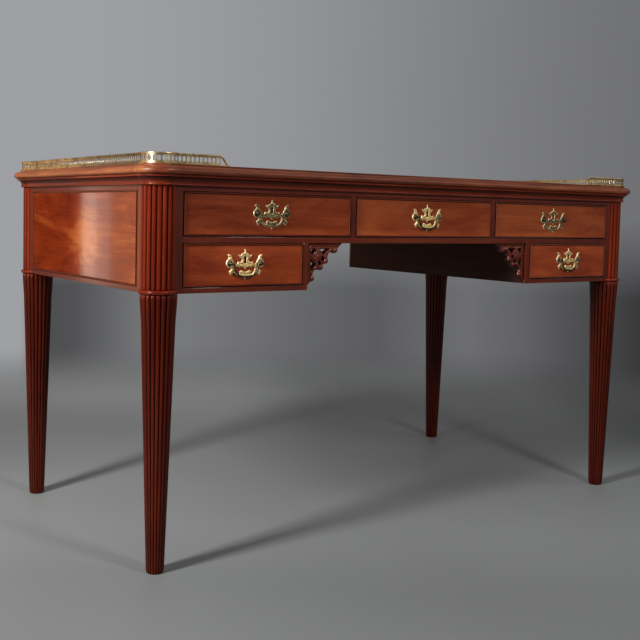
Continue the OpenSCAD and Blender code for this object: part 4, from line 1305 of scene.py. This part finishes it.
def bracketShape():
    look = bracketLook
    arm = look["arm"]

    def sized(points):
        return [(p[0] * arm, -p[1] * arm, *p[2:]) for p in points]

    def swapped(points):
        return [(p[1], p[0], *p[2:]) for p in reversed(points)]

    def towards(angle):
        return Vector((math.cos(angle), math.sin(angle)))

    half = look["outline"]
    loops = [[(0, 0, 1)] + half + swapped(half[:-1]), look["corner"] + swapped(look["corner"][1:-1])]
    for name in ("wedge", "slit"):
        loops += [look[name], swapped(look[name])]
    outline, *holes = (smoothLoop(sized(loop), look["step"]) for loop in loops)
    ridges = []
    for line, width, rise in look["ridges"]:
        for points in (line, swapped(line)):
            ridges.append((smoothLine(sized(points), reliefGrid["ridgeStep"]), width, rise))
    for across, down, radius in look["balls"]:
        for centre in ((across, down), (down, across)):
            spot = Vector((centre[0] * arm, -centre[1] * arm))
            ridges.append(([spot, spot + Vector((0.4, 0))], radius, look["ballRise"]))
            curl = [spot + towards(k * 0.6) * radius * (0.2 + 0.055 * k) for k in range(13)]
            ridges.append((smoothLine([tuple(p) for p in curl], 0.4), *look["curlCut"]))
    across, down, size = look["flower"]
    heart = Vector((across * arm, -down * arm))
    for k in range(look["petals"]):
        tip = heart + towards(2 * math.pi * (k + 0.5) / look["petals"]) * size
        ridges.append(([heart, tip], *look["petal"]))
        ridges.append(([heart + (tip - heart) * 0.3, tip], *look["petalCut"]))
    ridges.append(([heart, heart + Vector((0.3, 0))], *look["heart"]))

    # painted shade: the carving is darker the lower it lies, in its recesses
    def shadeAndWearAt(place, off, height):
        full = look["thick"] + look["unshadedRise"] - look["rim"]
        return min(1, max(0, (height - look["rim"]) / full))

    return reliefShape(outline, holes, ridges, look, shadeAndWearAt)


carving = bracketShape()
print("carving:", len(carving["front"]), "points")
for node, side in (("bracket_left", -1), ("bracket_right", 1)):
    low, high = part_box(node)
    piece = newPiece()
    cornerX = low.x if side < 0 else high.x
    addRelief(piece, carving, lambda across, up, rise: Vector((
        cornerX - side * across * mm, high.y - rise * mm, high.z + up * mm)), 60 + side)
    finishPiece(piece, node + "_carved", carvedWood, [node], 50)
print("brackets made")

# Gallery: foot and cap follow the plan with short front returns, and pales stand along the same line
galleryLook = {
    "out": 31 * mm,
    "returnLength": 110 * mm,
    "height": 20.5 * mm,
    "footWide": 6 * mm,
    "footThick": 2.8 * mm,
    "capWide": 5 * mm,
    "capThick": 3.0 * mm,
    # roundings are (lower edges, upper edges)
    "footRound": (0.2 * mm, 0.9 * mm),
    "capRound": (0.5 * mm, 1.3 * mm),
    "lowBandRound": (0.2 * mm, 0.3 * mm),
    "highBandRound": (0.3 * mm, 0.2 * mm),
    # where the cap runs down at a front end, as (past the end, below the cap's middle) in mm,
    # then (past the end, above the table); its foot is (past the end, above the table)
    "rampHigh": [(-3, 0.2), (0, 0.05), (6.3, 3.4)],
    "rampLow": [(15.12, 3.6), (19.8, 1.6)],
    "rampFoot": [(-2, 1), (21, 1)],
    "rampSlim": 0.6 * mm,
    "rampFootThick": 2 * mm,
    "rampFootRound": (0.2 * mm, 0.8 * mm),
    "pitch": 9 * mm,
    "paleWaist": 2.2 * mm,
    "paleFlare": 5.6 * mm,
    "paleThick": 1.4 * mm,
    "paleCurve": 3.2,
    "paleRows": 8,
    "paleLap": 0.4 * mm,
    "bandLow": 2.2 * mm,
    "bandHigh": 2.6 * mm,
    "bandThick": 1.7 * mm,
    "bandLap": 0.2 * mm,
}


def galleryLine(height):
    look = galleryLook
    ring = planRing(look["out"])
    steps = planLook["arcSteps"] + 1
    y = -legY - look["out"]
    end = legX - look["returnLength"]
    line = [Vector((end, y, 0))] + ring[3 * steps:] + ring[:3 * steps] + [Vector((-end, y, 0))]
    return [Vector((p.x, p.y, height)) for p in line]


def addSwept(target, line, section):
    # section holds (outward, up) offsets; the line keeps its outside on the right hand
    rings = []
    for number, place in enumerate(line):
        before = (place - line[number - 1]).normalized() if number > 0 else None
        after = (line[number + 1] - place).normalized() if number < len(line) - 1 else None
        tangent = ((before or after) + (after or before)).normalized()
        stretch = 1 / max(mitreLimit, before.dot(tangent)) if before and after else 1.0
        side = tangent.cross(Vector((0, 0, 1))).normalized()
        up = side.cross(tangent)
        rings.append([place + side * across * stretch + up * rise for across, rise in section])
    addSkin(target, rings)


def roundedBar(wide, thick, lowRound, highRound, steps=4):
    # section of a bar with its lower and upper edges rounded
    section = []
    for number, (sx, sz) in enumerate(((1, 1), (-1, 1), (-1, -1), (1, -1))):
        radius = highRound if sz > 0 else lowRound
        for k in range(steps + 1):
            angle = math.radians(90 * number + 90 * k / steps)
            section.append((sx * (wide / 2 - radius) + radius * math.cos(angle),
                            sz * (thick / 2 - radius) + radius * math.sin(angle)))
    return section


def makeRails():
    look = galleryLook
    lap, band = look["bandLap"], look["bandThick"]
    piece = newPiece()
    addSwept(piece, galleryLine(surfaceZ + look["footThick"] / 2),
             roundedBar(look["footWide"], look["footThick"], *look["footRound"]))
    addSwept(piece, galleryLine(surfaceZ + look["footThick"] + look["bandLow"] / 2 - lap / 2),
             roundedBar(band, look["bandLow"] + lap, *look["lowBandRound"]))
    finishPiece(piece, "gallery_foot_rail", galleryBrass, ["gallery_foot"], 50, slotName="brass")
    piece = newPiece()
    capZ = surfaceZ + look["height"] - look["capThick"] / 2
    addSwept(piece, galleryLine(capZ), roundedBar(look["capWide"], look["capThick"], *look["capRound"]))
    addSwept(piece, galleryLine(capZ - (look["capThick"] + look["bandHigh"] - lap) / 2),
             roundedBar(band, look["bandHigh"] + lap, *look["highBandRound"]))
    ramp = [(past * mm, capZ - drop * mm) for past, drop in look["rampHigh"]]
    ramp += [(past * mm, surfaceZ + rise * mm) for past, rise in look["rampLow"]]
    foot = [(past * mm, surfaceZ + rise * mm) for past, rise in look["rampFoot"]]
    rampBar = roundedBar(look["capWide"] - look["rampSlim"], look["capThick"], *look["capRound"])
    footBar = roundedBar(look["capWide"], look["rampFootThick"], *look["rampFootRound"])
    for side in (-1, 1):
        end = side * (legX - look["returnLength"])
        for rows, section in ((ramp, rampBar), (foot, footBar)):
            line = [Vector((end - side * past, -legY - look["out"], height)) for past, height in rows]
            addSwept(piece, line[::side], section)
    finishPiece(piece, "gallery_cap_rail", galleryBrass, ["gallery_cap"], 50, slotName="brass")


def paleTree():
    net, given = newTree("galleryPales", [("Pitch", "Float"), ("Waist", "Float"), ("Flare", "Float"),
                                          ("Thickness", "Float"), ("Height", "Float")])
    sizes = net.join(given["Waist"], given["Thickness"], given["Height"])
    blank = net.out("GeometryNodeMeshCube", {"Size": sizes, "Vertices X": 2, "Vertices Y": 2,
                                             "Vertices Z": galleryLook["paleRows"]}, "Mesh")
    x, y, z = net.node("ShaderNodeSeparateXYZ", {0: net.out("GeometryNodeInputPosition")}).outputs
    share = net.math("ABSOLUTE", net.math("MULTIPLY", net.math("DIVIDE", z, given["Height"]), 2.0))
    widen = net.math("DIVIDE", given["Flare"], given["Waist"])
    factor = net.math("MULTIPLY_ADD", net.math("POWER", share, galleryLook["paleCurve"]), widen, 1.0)
    pale = net.out("GeometryNodeSetPosition", {
        "Geometry": blank, "Position": net.join(net.math("MULTIPLY", x, factor), y, z)})
    spots = net.node("GeometryNodeCurveToPoints", {"Curve": given["Geometry"], "Length": given["Pitch"]},
                     mode="LENGTH").outputs
    turn = net.out("FunctionNodeAlignRotationToVector", {"Vector": spots["Tangent"]}, axis="X",
                   pivot_axis="Z")
    standing = net.out("GeometryNodeInstanceOnPoints", {"Points": spots["Points"], "Instance": pale,
                                                        "Rotation": turn})
    return closeTree(net, standing, given)


def makePales():
    look = galleryLook
    foot = look["footThick"] + look["bandLow"] - look["paleLap"]
    high = look["height"] - look["capThick"] - look["bandHigh"] + look["paleLap"] - foot
    line = galleryLine(surfaceZ + foot + high / 2)
    mesh = runTree(paleTree(), "paleLine", [(p, 1.0) for p in line], {
        "Pitch": look["pitch"], "Waist": look["paleWaist"], "Flare": look["paleFlare"],
        "Thickness": look["paleThick"], "Height": high, "Material": galleryBrass})
    placePiece(mesh, "gallery_pierced_pales", galleryBrass, ["gallery_pales"], slotName="brass")
    print("gallery made:", len(mesh.polygons), "pale faces")


makeRails()
makePales()

# Room: a pale floor that fades into the backdrop, and soft lamps. Across and ahead are the photo's
# right and its depth along the floor. The floor's gains each change over a span of (from, to) in metres.
roomLook = {
    "across": (0.825, -0.565, 0.0),
    "ahead": (0.565, 0.825, 0.0),
    "floorSize": 60,
    "floorColour": (0.211, 0.218, 0.218),
    "floorRough": 0.55,
    # the gains are painted light and shade, making the floor lighter or darker by place as lamps would
    "leftGain": 1.38,
    "leftSpan": (-0.38, 0.05),
    "rightGain": (1.24, 0.88),
    "rightSpan": (0.2, 1.0),
    "nearGain": 0.76,
    "nearSpan": (-0.75, -0.30),
    "farGain": 1.76,
    "farSpan": (0.55, 1.45),
    "edgeGain": 0.55,
    "edgeSpan": (0.75, 1.15),
    "fadeSpan": (1.3, 2.9),
}
# The backdrop's colours change over spans of a ray's direction: across for side and share, ahead for
# inside, up for low and under, and towards the flag, a dark patch beside the end panel.
backdropLook = {
    "leftSide": (0.345, 0.350, 0.365),
    "rightSide": (0.150, 0.152, 0.158),
    "under": (0.150, 0.153, 0.153),
    "elsewhere": (0.130, 0.132, 0.137),  # what shows all round
    "beyond": (0.026, 0.026, 0.028),  # what lights the table all round, and shows at the flag
    "flagToward": (-0.342, 0.939, -0.02),
    "flagSpan": (0.9994, 0.9850),
    "sideSpan": (-0.25, 0.42),
    "insideSpan": (0.72, 0.88),
    "lowSpan": (0.0, -0.075),
    "shareSpan": (-0.30, 0.37),
    "underSpan": (-0.14, -0.25),
    # the low shares are a painted shadow on the backdrop, under and beside the table
    "paintedShadowShares": [(0.06, 1.0), (0.10, 0.22), (0.13, 0.24), (0.17, 0.34), (0.22, 0.50), (0.29, 0.58),
                  (0.39, 0.52), (0.51, 0.44), (0.57, 0.42), (0.70, 0.72), (0.78, 0.62), (0.84, 0.46),
                  (0.93, 0.26)],
}


def makeFloor():
    look = roomLook
    bpy.ops.mesh.primitive_plane_add(size=look["floorSize"], location=(0, 0, 0))
    floor = bpy.context.object
    floor.name = "floor"
    material, net, shader = newMaterial("paleFloor")
    place = net.place()
    shade = net.ramp(net.noise(place, (1.3, 1.3, 1.3), 3.0, 0.5), [
        (at, tuple(c * gain for c in look["floorColour"])) for at, gain in ((0.3, 0.94), (0.7, 1.05))])
    aside = net.vector("DOT_PRODUCT", place, look["across"])
    depth = net.vector("DOT_PRODUCT", place, look["ahead"])

    def gainOver(value, span, low, high):
        return net.span(value, *look[span], low, high, "SMOOTHSTEP")

    # painted light and shade: the floor made lighter or darker by place
    paintedFloorLight = net.blend(gainOver(aside, "leftSpan", 0.0, 1.0), look["leftGain"],
                       gainOver(depth, "rightSpan", *look["rightGain"]))
    for gain in (gainOver(depth, "nearSpan", look["nearGain"], 1.0),
                 gainOver(depth, "farSpan", 1.0, look["farGain"]),
                 gainOver(aside, "edgeSpan", 1.0, look["edgeGain"])):
        paintedFloorLight = net.math("MULTIPLY", paintedFloorLight, gain)
    net.fill(shader, {"Base Color": net.times(shade, net.join(paintedFloorLight, paintedFloorLight, paintedFloorLight)),
                      "Roughness": look["floorRough"]})
    fade = gainOver(net.vector("LENGTH", place), "fadeSpan", 0.0, 1.0)
    mixed = net.out("ShaderNodeMixShader", {0: fade, 1: shader.outputs[0],
                                            2: net.out("ShaderNodeBsdfTransparent")})
    output = [n for n in net.tree.nodes if n.bl_idname == "ShaderNodeOutputMaterial"][0]
    net.fill(output, {0: mixed})
    floor.data.materials.append(material)


panelAim = (0.167, -2.024, 0.9)
plain = (1.0, 1.0, 1.0)
warm = (1.0, 0.66, 0.38)
straw = (1.0, 0.86, 0.72)
lamps = {
    "windowLeft": {"place": (-2.7, -0.7, 1.6), "aim": (0, 0, 0.6), "size": (0.40, 1.2), "power": 84,
                   "colour": plain},
    "stripBehindLeft": {"place": (-2.199, 3.577, 0.95), "aim": panelAim,
                        "size": (0.085, 1.9), "power": 1.15, "colour": straw},
    "stripBeside": {"place": (-2.275, 3.545, 0.95), "aim": panelAim, "size": (0.075, 1.9),
                    "power": 0.65, "colour": straw},
    "hazeBehindLeft": {"place": (-2.807, 1.995, 0.95), "aim": panelAim, "size": (2.21, 1.9),
                       "power": 11.5, "colour": warm},
    "softFront": {"place": (0.03, -2.4, 1.7), "aim": (0, 0, 0.5), "size": (0.35, 0.35), "power": 19,
                  "colour": plain},
    "softRight": {"place": (2.8, -2.2, 2.4), "aim": (0.3, 0, 0.6), "size": (2.2, 1.6), "power": 18,
                  "colour": plain},
    "softTop": {"place": (0, 0.6, 3.6), "aim": (0, 0, 0.6), "size": (2.4, 2.0), "power": 10,
                "colour": plain},
}


def makeLamps():
    for name, look in lamps.items():
        data = bpy.data.lights.new(name, "AREA")
        data.shape = "RECTANGLE"
        data.size, data.size_y = look["size"]
        data.energy = look["power"]
        data.color = look["colour"]
        lamp = bpy.data.objects.new(name, data)
        place = Vector(look["place"])
        lamp.location = place
        lamp.rotation_euler = (Vector(look["aim"]) - place).to_track_quat("-Z", "Y").to_euler()
        scene.collection.objects.link(lamp)


def makeWorld():
    look = backdropLook
    world = bpy.data.worlds.new("studio")
    scene.world = world
    world.use_nodes = True
    net = Net(world.node_tree)
    net.tree.nodes.clear()
    toward = net.place("Generated")
    across = net.vector("DOT_PRODUCT", toward, roomLook["across"])
    colour = net.mix(net.span(across, *look["sideSpan"], kind="SMOOTHSTEP"), look["leftSide"],
                     look["rightSide"])
    rise = net.axis(toward, "Z")
    # painted shadow: low on the backdrop it is darker in places, under and beside the table
    withPaintedShadow = net.times(colour, net.ramp(net.span(across, *look["shareSpan"]), look["paintedShadowShares"]))
    colour = net.mix(net.span(rise, *look["lowSpan"]), colour, withPaintedShadow)
    ahead = net.vector("DOT_PRODUCT", toward, roomLook["ahead"])
    inside = net.span(ahead, *look["insideSpan"], kind="SMOOTHSTEP")
    # rays that show the backdrop see it plain grey all round, but for the flag
    path = net.node("ShaderNodeLightPath").outputs
    seen = net.math("MAXIMUM", path["Is Camera Ray"], path["Is Glossy Ray"])
    seen = net.math("MAXIMUM", seen, path["Is Transmission Ray"])
    clear = net.span(net.vector("DOT_PRODUCT", toward, look["flagToward"]), *look["flagSpan"])
    around = net.mix(net.math("MULTIPLY", seen, clear), look["beyond"], look["elsewhere"])
    colour = net.mix(inside, around, colour)
    colour = net.mix(net.span(rise, *look["underSpan"]), colour, look["under"])
    back = net.out("ShaderNodeBackground", {"Color": colour, "Strength": 1.0})
    net.node("ShaderNodeOutputWorld", {0: back})


makeFloor()
makeLamps()
makeWorld()
scene.view_settings.view_transform = "Standard"
print("room made")
